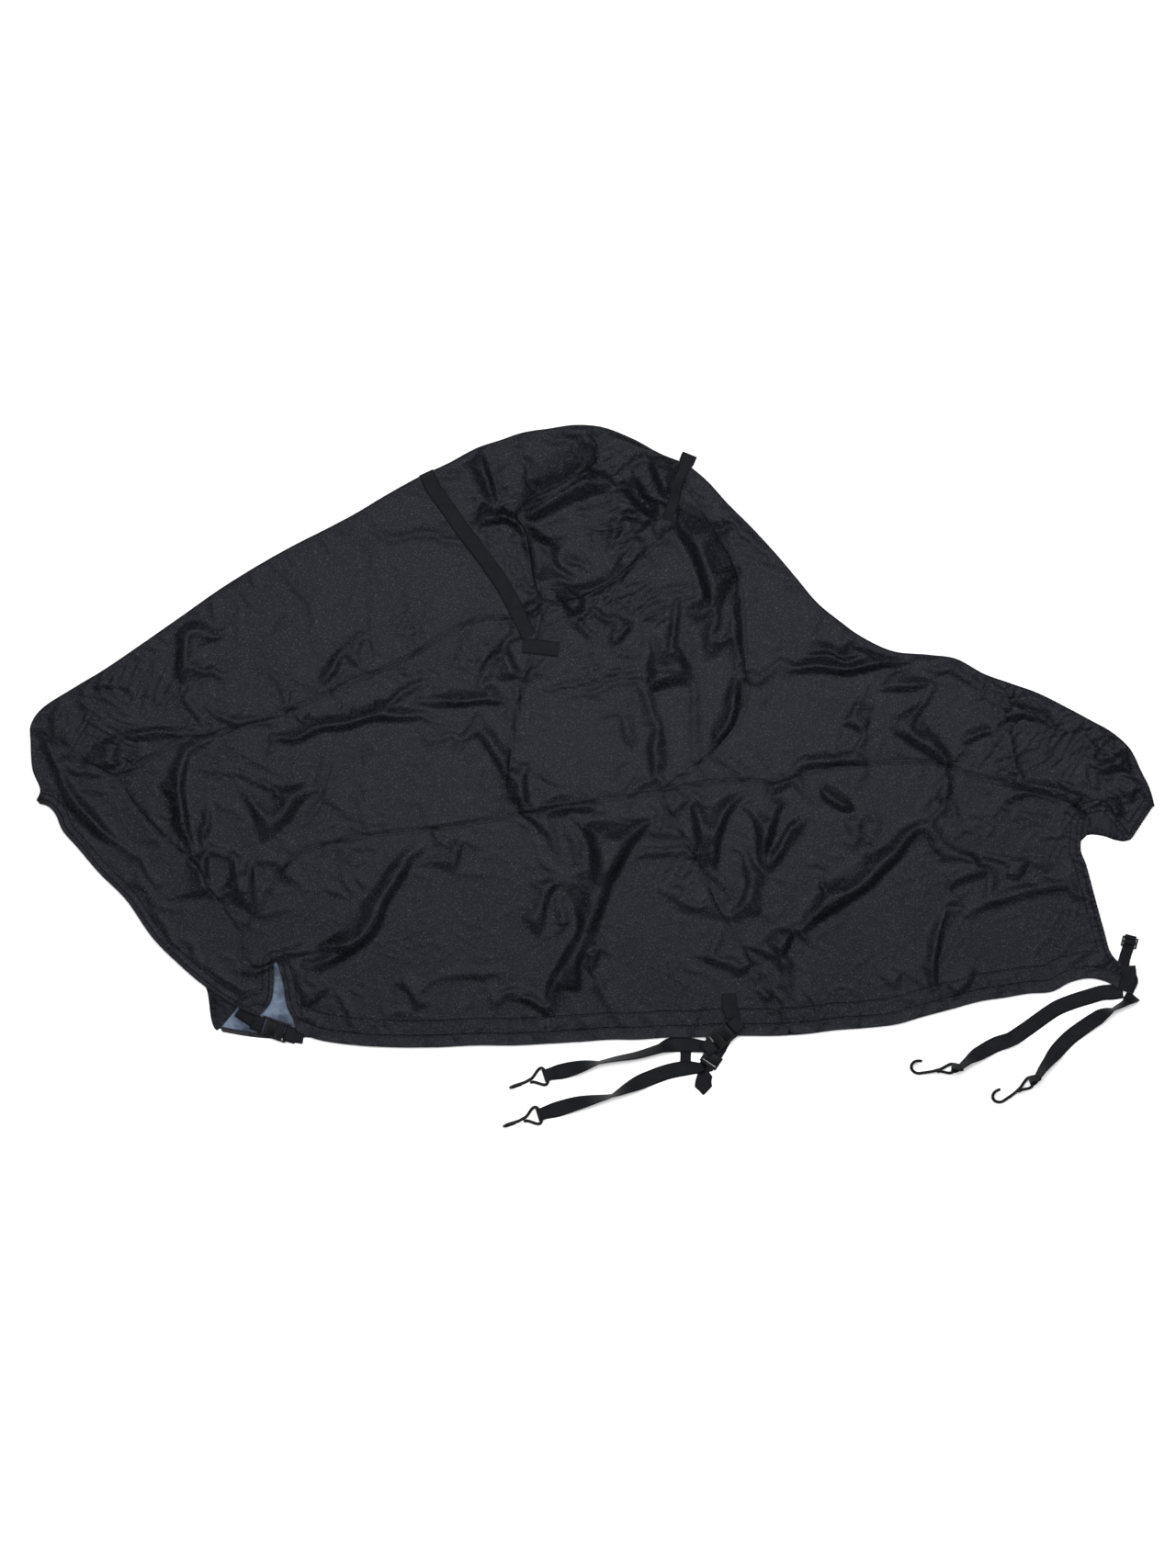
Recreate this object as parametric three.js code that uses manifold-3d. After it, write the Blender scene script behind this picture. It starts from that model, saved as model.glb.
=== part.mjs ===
// Snowmobile cover, empty and laid flat on its side.
// Millimetres. +X points to the tail, +Y to the top ridge, +Z up from the floor.
// The cover is folded in two along its ridge: the far side lies on the floor and the near side on it.
import * as THREE from 'three';
import { mergeVertices } from 'three/addons/utils/BufferGeometryUtils.js';
import Module from 'manifold-3d';

const wasm = await Module();
wasm.setup();

// Driving sizes: cloth and its lie, the mesh of the sheet, webbing, hooks, buckles and sliders
const CLOTH = 2;
const NEAR_REST = 8;
const SEAM_GAP = 0.4;
const SEAM_OVERRUN = 0.5;
const LOFT = 7;
const MAX_RISE = 42;
const RIDGE_EASE = 75;
const HEM_EASE = 90;
const HEM_RISE = 0.3;
const COLUMNS = 58;
const NEAR_ROWS = 22;
const FOLD_STEPS = 4;
const FAR_ROWS = 3;
const CLEAR = 0.5;
const FAR_INSET = 6;
const WEB_WIDTH = 40;
const WEB_THICK = 1.6;
const WIRE = 8;
const HOOK_BEND = 19;
const LEAN = 1.4;
const EYE_HALF = 22.5;
const BUCKLE = {
  width: 50, socket: 42, plug: 34, thick: 8, bar: 4, slot: 8, arm: 7, armReach: 22, gap: 0.3,
};
const SLIDER = { thick: 4, bar: 4 };

// Sizes worked out from them
const FOLD_RADIUS = (NEAR_REST + CLOTH) / 2;
const UP = new THREE.Vector3(0, 0, 1);
const DEGREE = Math.PI / 180;

// Stations from the nose round to the tail. Columns: ridge x, ridge y, near hem x, near hem y
const STATIONS = [
  [-1450, -65, -1440, -75],
  [-1440, -40, -1420, -80],
  [-1460, 15, -1400, -100],
  [-1465, 85, -1380, -145],
  [-1465, 130, -1345, -185],
  [-1440, 170, -1285, -255],
  [-1350, 230, -1215, -325],
  [-1275, 275, -1145, -425],
  [-1165, 350, -1075, -495],
  [-1065, 420, -1010, -550],
  [-980, 480, -925, -605],
  [-910, 525, -880, -625],
  [-825, 575, -815, -655],
  [-760, 610, -765, -670],
  [-700, 640, -715, -690],
  [-615, 685, -610, -705],
  [-540, 730, -515, -710],
  [-450, 780, -405, -710],
  [-375, 815, -300, -705],
  [-300, 855, -200, -705],
  [-240, 875, -105, -700],
  [-180, 895, -20, -695],
  [-115, 905, 50, -690],
  [-45, 915, 120, -690],
  [25, 910, 195, -685],
  [105, 880, 265, -685],
  [180, 840, 340, -680],
  [250, 810, 410, -680],
  [300, 770, 480, -680],
  [355, 710, 560, -675],
  [420, 645, 640, -665],
  [480, 580, 710, -660],
  [535, 515, 795, -650],
  [590, 450, 865, -630],
  [645, 405, 940, -610],
  [700, 365, 1015, -590],
  [785, 325, 1080, -580],
  [880, 315, 1140, -570],
  [950, 305, 1200, -565],
  [1025, 265, 1250, -540],
  [1095, 240, 1300, -530],
  [1165, 215, 1345, -540],
  [1245, 175, 1380, -560],
  [1310, 140, 1410, -570],
  [1355, 115, 1430, -575],
  [1405, 70, 1450, -580],
  [1435, 10, 1470, -585],
  [1455, -30, 1485, -590],
  [1470, -80, 1500, -595],
];

// Stations where the far hem shows below the near hem at the front corner. Columns: station, x, y
const FAR_CORNER = [
  [9, -1020, -545],
  [10, -975, -660],
  [11, -885, -680],
  [12, -830, -688],
  [13, -780, -686],
  [14, -715, -686],
];

// Folds of the near side: height above or below the loft, half width, route
const FOLDS = [
  { height: -9, width: 22, route: [[-1055, 420], [-1080, 215]] },
  { height: -12, width: 24, route: [[-1045, 90], [-1070, -30], [-1040, -200]] },
  { height: 12, width: 26, route: [[-1100, 90], [-1120, -30], [-1090, -180]] },
  { height: 18, width: 30, route: [[-850, 105], [-805, 85], [-635, 145], [-440, 160], [-220, 190]] },
  { height: -9, width: 30, route: [[-825, 30], [-635, 85], [-440, 100], [-240, 120]] },
  { height: 12, width: 28, route: [[-675, 110], [-695, 0], [-750, -130]] },
  { height: -8, width: 34, route: [[-715, -60], [-865, -195]] },
  { height: -14, width: 32, route: [[-460, -205], [-525, -315], [-585, -425], [-750, -535]] },
  { height: 12, width: 34, route: [[-390, -225], [-455, -345], [-520, -470]] },
  { height: 10, width: 34, route: [[-530, -190], [-600, -300], [-665, -405]] },
  { height: -12, width: 32, route: [[160, -110], [60, -275], [-5, -445]] },
  { height: 10, width: 36, route: [[235, -135], [130, -300], [65, -470]] },
  { height: 12, width: 26,
    route: [[-45, -115], [5, -230], [-95, -305], [-35, -385], [-95, -485], [-105, -615]] },
  { height: -13, width: 32, route: [[870, -125], [795, -225], [700, -310], [560, -405], [495, -480]] },
  { height: 12, width: 34, route: [[935, -165], [865, -270], [740, -380], [600, -465]] },
  { height: -8, width: 26, route: [[415, -85], [455, -260], [560, -95]] },
  { height: 14, width: 24, route: [[925, -335], [895, -590]] },
  { height: 9, width: 30, route: [[970, -365], [1120, -325], [1270, -265]] },
  { height: -11, width: 26, route: [[485, 275], [590, 280], [700, 260]] },
  { height: 10, width: 26, route: [[480, 330], [590, 345], [700, 300]] },
  { height: 9, width: 36, route: [[775, 140], [855, 70], [925, 20]] },
  { height: -10, width: 26, route: [[-1440, 120], [-1420, 75], [-1370, -10], [-1310, -105], [-1200, -200]] },
  { height: 12, width: 34, route: [[-1390, 110], [-1310, -10], [-1200, -115], [-1085, -255], [-985, -445]] },
  { height: -22, width: 38, route: [[195, 655], [240, 550], [325, 450]] },
  { height: 17, width: 28, route: [[145, 830], [190, 660], [215, 465], [190, 275]] },
  { height: 16, width: 40, route: [[360, 585], [395, 440], [390, 300]] },
  { height: -10, width: 24, route: [[-275, 855], [-250, 780], [-230, 705]] },
  { height: -12, width: 28, route: [[-200, 705], [-95, 755], [20, 815]] },
  { height: -8, width: 26, route: [[-175, 630], [-145, 500]] },
  { height: -10, width: 28, route: [[145, 250], [220, 195], [275, 190]] },
  { height: 8, width: 30, route: [[70, 165], [120, 130], [180, 105]] },
  { height: 7, width: 28, route: [[-575, -490], [-370, -480], [-160, -495]] },
];

// Broad swellings where the shaped panels don't lie flat. Columns: x, y, half width, height
const SWELLS = [
  [60, 560, 300, 14],
  [-650, 250, 330, 5],
  [-200, -380, 360, 3],
  [800, 30, 280, 6],
  [1330, 0, 100, 8],
];

// Seams, each a route from a neighbour to a neighbour
const SEAMS = {
  noseInner: [[-1495, 110], [-1430, 113], [-1330, 43], [-1241, -10], [-1181, -89], [-1104, -173],
    [-1032, -235], [-977, -326], [-917, -418]],
  hoodEdge: [[-1241, -10], [-1130, 60], [-1049, 98], [-982, 108], [-871, 142], [-792, 170], [-703, 211],
    [-562, 271], [-444, 329], [-386, 367], [-290, 410], [-182, 413], [-122, 446]],
  cowlLower: [[-122, 446], [-34, 461], [77, 528], [158, 595], [218, 653], [233, 730], [237, 770],
    [245, 850]],
  cowlFront: [[-8, 950], [-4, 890], [12, 845], [12, 820], [-8, 797], [-82, 758], [-197, 689], [-175, 643],
    [-149, 497], [-122, 446]],
  sideJoin: [[-122, 446], [-134, 370], [-151, 329], [-178, 233], [-204, 122], [-221, -10], [-240, -113]],
  seatFront: [[237, 770], [278, 718], [322, 634], [362, 574], [382, 514], [394, 422], [401, 305],
    [403, 190], [365, 115], [283, 34], [194, -31], [173, -46]],
  beltFront: [[-905, -486], [-917, -480], [-917, -418], [-864, -341], [-802, -242],
    [-758, -202], [-674, -173], [-583, -156], [-466, -146], [-346, -130], [-240, -113]],
  beltMiddle: [[-240, -113], [-58, -74], [173, -46]],
  beltRear: [[173, -46], [278, -22], [374, -14], [473, -17], [547, 2], [638, 19], [840, 36], [917, 29],
    [977, 7], [1090, -26], [1190, -53], [1260, -80], [1300, -110]],
  skirtJoin: [[173, -46], [262, -199], [341, -370], [456, -545], [485, -595], [540, -730]],
};

// The belt seam goes on to the slit on the near side, and down to the front corner on the far side
const NEAR_FRONT_SEAM = [[-825, -489], [-874, -502], [-905, -486]];
const FAR_FRONT_SEAM = [[-905, -486], [-945, -560], [-985, -720]];
const FAR_REAR_SEAM = [[1300, -110], [1290, -180]];

// Cut-outs in plan: the open rear between tail and skirt, the raised near rear hem, the near front slit
const REAR_NOTCH = [[1550, -145], [1400, -170], [1370, -170], [1340, -160], [1305, -155], [1275, -165],
  [1275, -195], [1290, -235], [1310, -310], [1335, -400], [1355, -465], [1385, -495], [1410, -505],
  [1425, -535], [1410, -570], [1410, -640], [1550, -640]];
const REAR_RAISED_HEM = [[1276, -180], [1281, -122], [1295, -100], [1315, -95], [1333, -97], [1342, -112],
  [1338, -140], [1332, -180]];
const FRONT_SLIT = [[-821, -486], [-829, -486], [-835, -585], [-850, -610], [-870, -625], [-885, -735],
  [-730, -735], [-770, -665], [-780, -635], [-795, -605], [-805, -545]];

// Panels: name, a point inside each and the layer that it is in
const PANELS = [
  { name: 'nose_panel', at: [-1380, 40], layer: 'near' },
  { name: 'hood_top', at: [-800, 400], layer: 'near' },
  { name: 'windshield_top', at: [-60, 650], layer: 'near' },
  { name: 'seat_panel', at: [700, 160], layer: 'near' },
  { name: 'hood_side_near', at: [-550, 60], layer: 'near' },
  { name: 'hood_side_far', at: [-550, 60], layer: 'far' },
  { name: 'windshield_side_near', at: [60, 250], layer: 'near' },
  { name: 'windshield_side_far', at: [60, 250], layer: 'far' },
  { name: 'front_skirt_near', at: [-300, -400], layer: 'near' },
  { name: 'front_skirt_far', at: [-300, -400], layer: 'far' },
  { name: 'rear_skirt_near', at: [800, -300], layer: 'near' },
  { name: 'rear_skirt_far', at: [800, -300], layer: 'far' },
];

// Webbing on the near side's cloth. Columns: x, y
const HOOD_STRAP = [[-430, 784], [-414, 750], [-378, 700], [-334, 636], [-274, 557], [-233, 497],
  [-190, 418], [-164, 362]];
const HOOD_PATCH = [[-180, 328], [-86, 320]];
const WINDSHIELD_TAB = [[240, 796], [226, 765], [216, 722], [196, 666]];
const SIDE_TAB = [[358, -569], [360, -605], [368, -630]];
const REAR_CORNER = [[1398, -497], [1400, -530], [1392, -560]];

// Webbing that lies on the floor, between the layers or past an edge. Columns: x, y, height of the lower
// edge, roll in degrees
const WINDSHIELD_END = [[256, 838, 9, 0], [248, 818, 10.8, 0]];
const SIDE_STRAP_NEAR = [[247, -703, 4, 0], [214, -703, 1, 12], [180, -712, 0, 75], [118, -730, 0, 90],
  [67, -739, 0, 90], [19, -749, 0, 82], [-31, -761, 0, 35], [-84, -775, 0, 0]];
const SIDE_STRAP_FAR = [[250, -764, 0, 0], [197, -775, 0, 0], [137, -797, 0, 10], [98, -814, 0, 70],
  [53, -835, 0, 90], [10, -845, 0, 80], [-40, -857, 0, 30], [-98, -875, 0, 0]];
const SIDE_FAR_END = [[292, -835, 0, 0], [292, -822, 0, 0], [292, -800, 2, 0], [296, -782, 4, 0]];
const SIDE_FAR_TAB = [[372, -645, 2.6, 0], [350, -680, 2.6, 0]];
const SIDE_NEAR_END = [[247, -698, 0.3, 0], [246, -720, 0.6, 0], [245, -748, 2.6, 0]];
const REAR_STRAP_NEAR = [[1362, -566, 3.2, 0], [1334, -568, 3.2, 0], [1298, -578, 2.6, 0],
  [1255, -592, 0, 0], [1214, -609, 0, 0], [1130, -667, 0, 0], [1094, -689, 0, 25], [1056, -703, 0, 8],
  [1010, -727, 0, 30], [982, -744, 3, 65]];
const REAR_STRAP_FAR = [[1416, -575, 0, 20], [1394, -592, 0, 70], [1360, -610, 0, 85], [1325, -630, 0, 30],
  [1250, -684, 0, 5], [1219, -715, 0, 12], [1194, -744, 0, 50], [1175, -767, 3, 65]];
const REAR_END = [[1390, -484, 5, 0], [1394, -470, 2, 0]];
const FRONT_NOSE_TAB = [[-922, -612, 3.5, 0], [-898, -628, 3, 0]];
const FRONT_SKIRT_TAB = [[-752, -682, 3.5, 0], [-772, -679, 3, 0]];

// Hooks: the middle of the eye's bar, heading and roll in degrees, length from the bar to the bend
const HOOKS = {
  side_hook_near: { at: [-120, -784], heading: 198, roll: 0, length: 100 },
  side_hook_far: { at: [-136, -886], heading: 197, roll: 0, length: 100 },
  rear_hook_near: { at: [943, -763], heading: 190, roll: 65, length: 112 },
  rear_hook_far: { at: [1146, -797], heading: 217, roll: 65, length: 112 },
};

// The wire's eye from its free end round to the stem, in the hook's own plan
const HOOK_EYE = [[36, 9.2], [28, 12], [10, EYE_HALF - 0.5], [4, EYE_HALF], [0, 17], [0, -17],
  [4, -EYE_HALF], [10, 0.5 - EYE_HALF], [27, -6], [37, -1], [46, 0]];

// Buckles and sliders: middle, heading of the strap through them in degrees, height of the underside
const SIDE_BUCKLE = { at: [338, -682], heading: -140, base: 20 };
const FRONT_BUCKLE = { at: [-825, -664], heading: -19, base: 5 };
const SIDE_SLIDER = { at: [312, -742], heading: -124, base: 4, width: 50, length: 36 };
const REAR_SLIDER = { at: [1404, -436], heading: 76, base: 4, width: 42, length: 28 };
const REAR_END_WIDTH = 30;
const SIDE_END_WIDTH = 28;
const BAR_TAIL = 26;
const EYE_WEB_WIDTH = 32;

const FINISH = {
  cloth: { color: 0x1b1c20, roughness: 0.62 },
  webbing: { color: 0x101113, roughness: 0.85 },
  plastic: { color: 0x0e0e10, roughness: 0.45 },
  wire: { color: 0x151618, roughness: 0.35 },
};

const object = new THREE.Group();

function addMesh(name, geometry, finish) {
  const material = new THREE.MeshStandardMaterial({ ...FINISH[finish], metalness: 0 });
  const mesh = new THREE.Mesh(geometry, material);
  mesh.name = name;
  object.add(mesh);
  return mesh;
}

// Solids and meshes
function solidOf(geometry) {
  const bare = geometry.clone();
  bare.deleteAttribute('normal');
  bare.deleteAttribute('uv');
  const merged = mergeVertices(bare, 1e-4);
  return new wasm.Manifold(new wasm.Mesh({
    numProp: 3,
    vertProperties: Float32Array.from(merged.attributes.position.array),
    triVerts: Uint32Array.from(merged.index.array),
  }));
}

function geometryOf(solid) {
  const { vertProperties, triVerts } = solid.getMesh();
  const geometry = new THREE.BufferGeometry();
  geometry.setAttribute('position', new THREE.BufferAttribute(vertProperties, 3));
  geometry.setIndex(new THREE.BufferAttribute(triVerts, 1));
  return geometry;
}

// An upright prism over a plan outline
function prism(outline, low, high) {
  const shape = new THREE.Shape(outline.map(([x, y]) => new THREE.Vector2(x, y)));
  const geometry = new THREE.ExtrudeGeometry(shape, { depth: high - low, bevelEnabled: false });
  return solidOf(geometry.translate(0, 0, low));
}

// A closed skin through equal loops of points, one loop after the other. Each loop runs back along its second
// half, so there the squares are split the other way, and both faces of a sheet are split alike
function loft(loops) {
  const count = loops[0].length;
  const indices = [];
  for (let i = 0; i < loops.length - 1; i += 1) {
    for (let k = 0; k < count; k += 1) {
      const a = i * count + k;
      const b = i * count + ((k + 1) % count);
      if (k < count / 2) {
        indices.push(a, b + count, b, a, a + count, b + count);
      } else {
        indices.push(a, a + count, b, a + count, b + count, b);
      }
    }
  }
  const last = (loops.length - 1) * count;
  for (let k = 0; k < count / 2 - 1; k += 1) {
    const mate = count - 1 - k;
    indices.push(k, mate - 1, mate, k, k + 1, mate - 1);
    indices.push(last + k, last + mate, last + mate - 1, last + k, last + mate - 1, last + k + 1);
  }
  const geometry = new THREE.BufferGeometry();
  geometry.setFromPoints(loops.flat());
  geometry.setIndex(indices);
  return geometry;
}

// A smooth level curve through plan points
function planCurve(points) {
  const level = points.map(([x, y]) => new THREE.Vector3(x, y, 0));
  return new THREE.CatmullRomCurve3(level, false, 'centripetal');
}

// Distance from a plan point to a route
function distanceTo(x, y, route) {
  let best = Infinity;
  for (let i = 0; i < route.length - 1; i += 1) {
    const [ax, ay] = route[i];
    const [bx, by] = route[i + 1];
    const length2 = (bx - ax) ** 2 + (by - ay) ** 2;
    const along = ((x - ax) * (bx - ax) + (y - ay) * (by - ay)) / length2;
    const t = THREE.MathUtils.clamp(along, 0, 1);
    best = Math.min(best, Math.hypot(x - ax - t * (bx - ax), y - ay - t * (by - ay)));
  }
  return best;
}

const RIDGE_ROUTE = STATIONS.map(([x, y]) => [x, y]);
const HEM_ROUTE = STATIONS.map(([, , x, y]) => [x, y]);

// How far the near side lies above its rest height
function nearRise(x, y) {
  let rise = LOFT;
  for (const [cx, cy, width, height] of SWELLS) {
    rise += height * Math.exp(-((x - cx) ** 2 + (y - cy) ** 2) / width ** 2);
  }
  for (const { height, width, route } of FOLDS) {
    rise += height * Math.exp(-((distanceTo(x, y, route) / width) ** 2));
  }
  const offRidge = THREE.MathUtils.smoothstep(distanceTo(x, y, RIDGE_ROUTE), 0, RIDGE_EASE);
  const offHem = THREE.MathUtils.smoothstep(distanceTo(x, y, HEM_ROUTE), 0, HEM_EASE);
  return THREE.MathUtils.clamp(rise, 0, MAX_RISE) * offRidge * THREE.MathUtils.lerp(HEM_RISE, 1, offHem);
}

// The folded sheet: each loop goes from the near hem over the ridge to the far hem and back inside
function foldedSheet() {
  const ridge = planCurve(RIDGE_ROUTE);
  const nearHem = planCurve(HEM_ROUTE);
  const farPoints = STATIONS.map(([x, y, hx, hy]) => {
    const inset = FAR_INSET / Math.hypot(x - hx, y - hy);
    return [hx + (x - hx) * inset, hy + (y - hy) * inset];
  });
  for (const [station, x, y] of FAR_CORNER) {
    farPoints[station] = [x, y];
  }
  const farHem = planCurve(farPoints);
  const loops = [];
  for (let i = 0; i <= COLUMNS; i += 1) {
    const t = i / COLUMNS;
    const top = ridge.getPoint(t);
    const tangent = ridge.getTangent(t);
    const inward = new THREE.Vector3(tangent.y, -tangent.x, 0);
    const start = top.clone().addScaledVector(inward, FOLD_RADIUS);
    const outer = [];
    const inner = [];
    for (let j = NEAR_ROWS; j >= 0; j -= 1) {
      const p = start.clone().lerp(nearHem.getPoint(t), j / NEAR_ROWS);
      const z = NEAR_REST + nearRise(p.x, p.y);
      outer.push(new THREE.Vector3(p.x, p.y, z + CLOTH));
      inner.push(new THREE.Vector3(p.x, p.y, z));
    }
    for (let k = 1; k < FOLD_STEPS; k += 1) {
      const turn = (Math.PI * k) / FOLD_STEPS;
      for (const [chain, radius] of [[outer, FOLD_RADIUS], [inner, FOLD_RADIUS - CLOTH]]) {
        const p = start.clone().addScaledVector(inward, -radius * Math.sin(turn));
        chain.push(p.setZ(FOLD_RADIUS + radius * Math.cos(turn)));
      }
    }
    for (let j = 0; j <= FAR_ROWS; j += 1) {
      const p = start.clone().lerp(farHem.getPoint(t), j / FAR_ROWS);
      outer.push(new THREE.Vector3(p.x, p.y, 0));
      inner.push(new THREE.Vector3(p.x, p.y, CLOTH));
    }
    loops.push([...outer, ...inner.reverse()]);
  }
  return solidOf(loft(loops));
}

// A thin upright cut along a seam, a little longer than the seam so that it runs into its neighbours
function seamCut(route, low, high) {
  const half = SEAM_GAP / 2;
  const points = route.map(([x, y]) => new THREE.Vector2(x, y));
  const headings = points.slice(1).map((p, i) => p.clone().sub(points[i]).normalize());
  points[0].addScaledVector(headings[0], -SEAM_OVERRUN);
  points.at(-1).addScaledVector(headings.at(-1), SEAM_OVERRUN);
  const left = [];
  const right = [];
  points.forEach((p, i) => {
    const before = headings[Math.max(i - 1, 0)];
    const after = headings[Math.min(i, headings.length - 1)];
    const mitre = before.clone().add(after).normalize();
    const reach = half / mitre.dot(after);
    left.push([p.x - mitre.y * reach, p.y + mitre.x * reach]);
    right.unshift([p.x + mitre.y * reach, p.y - mitre.x * reach]);
  });
  return prism([...left, ...right], low, high);
}

const LOW = -5;
const BETWEEN = (CLOTH + NEAR_REST) / 2;
const HIGH = 100;

function cutPanels(whole) {
  let sheet = whole;
  for (const route of Object.values(SEAMS)) {
    sheet = sheet.subtract(seamCut(route, LOW, HIGH));
  }
  sheet = sheet.subtract(seamCut(NEAR_FRONT_SEAM, BETWEEN, HIGH));
  sheet = sheet.subtract(seamCut(FAR_FRONT_SEAM, LOW, BETWEEN));
  sheet = sheet.subtract(seamCut(FAR_REAR_SEAM, LOW, BETWEEN));
  sheet = sheet.subtract(prism(REAR_NOTCH, LOW, HIGH));
  sheet = sheet.subtract(prism(REAR_RAISED_HEM, BETWEEN, HIGH));
  sheet = sheet.subtract(prism(FRONT_SLIT, BETWEEN, HIGH));
  const pieces = sheet.decompose();
  const found = new Set();
  for (const { name, at: [x, y], layer } of PANELS) {
    const [low, high] = layer === 'near' ? [BETWEEN, HIGH] : [LOW, BETWEEN];
    const probe = prism([[x, y], [x + 1, y], [x + 1, y + 1], [x, y + 1]], low, high);
    const piece = pieces.find((solid) => solid.intersect(probe).volume() > 0);
    if (found.has(piece)) {
      throw new Error(`${name} isn't parted from its neighbour`);
    }
    found.add(piece);
    addMesh(name, geometryOf(piece), 'cloth');
  }
  if (found.size !== pieces.length) {
    const loose = pieces.filter((solid) => !found.has(solid)).map((solid) => solid.boundingBox());
    throw new Error(`loose pieces: ${JSON.stringify(loose)}`);
  }
}

const sheet = foldedSheet();
cutPanels(sheet);

// Height of whatever lies on the floor at a plan point
const sheetMesh = new THREE.Mesh(geometryOf(sheet));
const plumb = new THREE.Raycaster();
function topAt(x, y) {
  plumb.set(new THREE.Vector3(x, y, HIGH), new THREE.Vector3(0, 0, -1));
  const hit = plumb.intersectObject(sheetMesh)[0];
  return hit ? hit.point.z : 0;
}

// A strip of webbing through frames, each with its middle, its side and its normal
function addStrip(name, frames, usual = WEB_WIDTH) {
  const loops = frames.map(({ at, side, normal, width = usual }) => {
    const s = side.clone().multiplyScalar(width / 2);
    const n = normal.clone().multiplyScalar(WEB_THICK / 2);
    return [
      at.clone().sub(s).add(n), at.clone().add(s).add(n), at.clone().add(s).sub(n), at.clone().sub(s).sub(n),
    ];
  });
  return addMesh(name, loft(loops), 'webbing');
}

// Frames along a route; each side starts level, square to the route, and rolls about it
function framesAlong(points, rolls) {
  return points.map((at, i) => {
    const before = points[Math.max(i - 1, 0)];
    const after = points[Math.min(i + 1, points.length - 1)];
    const heading = after.clone().sub(before).normalize();
    const side = UP.clone().cross(heading).normalize().applyAxisAngle(heading, rolls[i] * DEGREE);
    return { at, side, normal: heading.clone().cross(side) };
  });
}

// Webbing that lies free: its lower edge stands at the stated height whatever its roll
function freeFrames(rows, steps) {
  const route = planCurve(rows);
  const points = [];
  const rolls = [];
  for (let i = 0; i <= steps; i += 1) {
    const t = i / steps;
    const k = Math.min(Math.floor(t * (rows.length - 1)), rows.length - 2);
    const part = t * (rows.length - 1) - k;
    const lift = THREE.MathUtils.lerp(rows[k][2], rows[k + 1][2], part);
    const roll = THREE.MathUtils.lerp(rows[k][3], rows[k + 1][3], part);
    const half = (WEB_WIDTH * Math.sin(roll * DEGREE) + WEB_THICK * Math.cos(roll * DEGREE)) / 2;
    points.push(route.getPoint(t).setZ(lift + half));
    rolls.push(roll);
  }
  return framesAlong(points, rolls);
}

// Webbing that lies on the near side's cloth, just clear of it across its whole width
function laidFrames(rows, steps, width) {
  const route = planCurve(rows);
  const points = route.getSpacedPoints(steps);
  const reach = route.getLength() / steps;
  const heights = points.map((p, i) => {
    const heading = route.getTangentAt(i / steps);
    let high = 0;
    for (const across of [-0.5, -0.25, 0, 0.25, 0.5]) {
      for (const along of [-1, -0.5, 0, 0.5, 1]) {
        const x = p.x - heading.y * across * width + heading.x * along * reach;
        const y = p.y + heading.x * across * width + heading.y * along * reach;
        high = Math.max(high, topAt(x, y));
      }
    }
    return high + CLEAR + WEB_THICK / 2;
  });
  points.forEach((p, i) => p.setZ(heights[i]));
  return framesAlong(points, points.map(() => 0));
}

// Turns a piece about a place: heading about +Z, then pitch, then roll about its own length
function placing([x, y], z, heading, pitch = 0, roll = 0) {
  const turn = new THREE.Euler(roll * DEGREE, pitch * DEGREE, heading * DEGREE, 'ZYX');
  return new THREE.Matrix4().makeRotationFromEuler(turn).setPosition(x, y, z);
}

// A strap's end: under a bar that lies along its own Y, round it, and back over itself
function loopFrames(matrix, barRadius) {
  const radius = barRadius + CLEAR + WEB_THICK / 2;
  const back = WEB_THICK + CLEAR - radius;
  const path = [[-8, -radius], [0, -radius]];
  for (let turn = 30; turn <= 180; turn += 30) {
    path.push([radius * Math.sin(turn * DEGREE), -radius * Math.cos(turn * DEGREE)]);
  }
  path.push([-radius * 0.7, radius], [-BAR_TAIL * 0.75, back], [-BAR_TAIL, back]);
  const points = path.map(([x, z]) => new THREE.Vector3(x, 0, z));
  const side = new THREE.Vector3(0, 1, 0).transformDirection(matrix);
  return points.map((at, i) => {
    const before = points[Math.max(i - 1, 0)];
    const after = points[Math.min(i + 1, points.length - 1)];
    const heading = after.clone().sub(before).normalize().transformDirection(matrix);
    return { at: at.clone().applyMatrix4(matrix), side, normal: heading.clone().cross(side) };
  });
}

// The same strap followed the other way
function reversed(frames) {
  return frames.map(({ at, side, normal }) => ({ at, side: side.clone().negate(), normal })).reverse();
}

// A bent-wire hook: its eye lies in its own XY plane, its bend stands in its own XZ plane
function hookPlacing({ at, heading, roll, length }) {
  const rise = Math.sin(roll * DEGREE) * (EYE_HALF + LEAN) + WIRE / 2;
  const bar = Math.max(rise, WIRE / 2 + CLEAR + WEB_THICK);
  const stemEnd = length - WIRE / 2 - HOOK_BEND;
  const low = WIRE / 2 + LEAN * Math.sin(roll * DEGREE);
  return placing(at, bar, heading, Math.asin((bar - low) / stemEnd) / DEGREE, roll);
}

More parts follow.
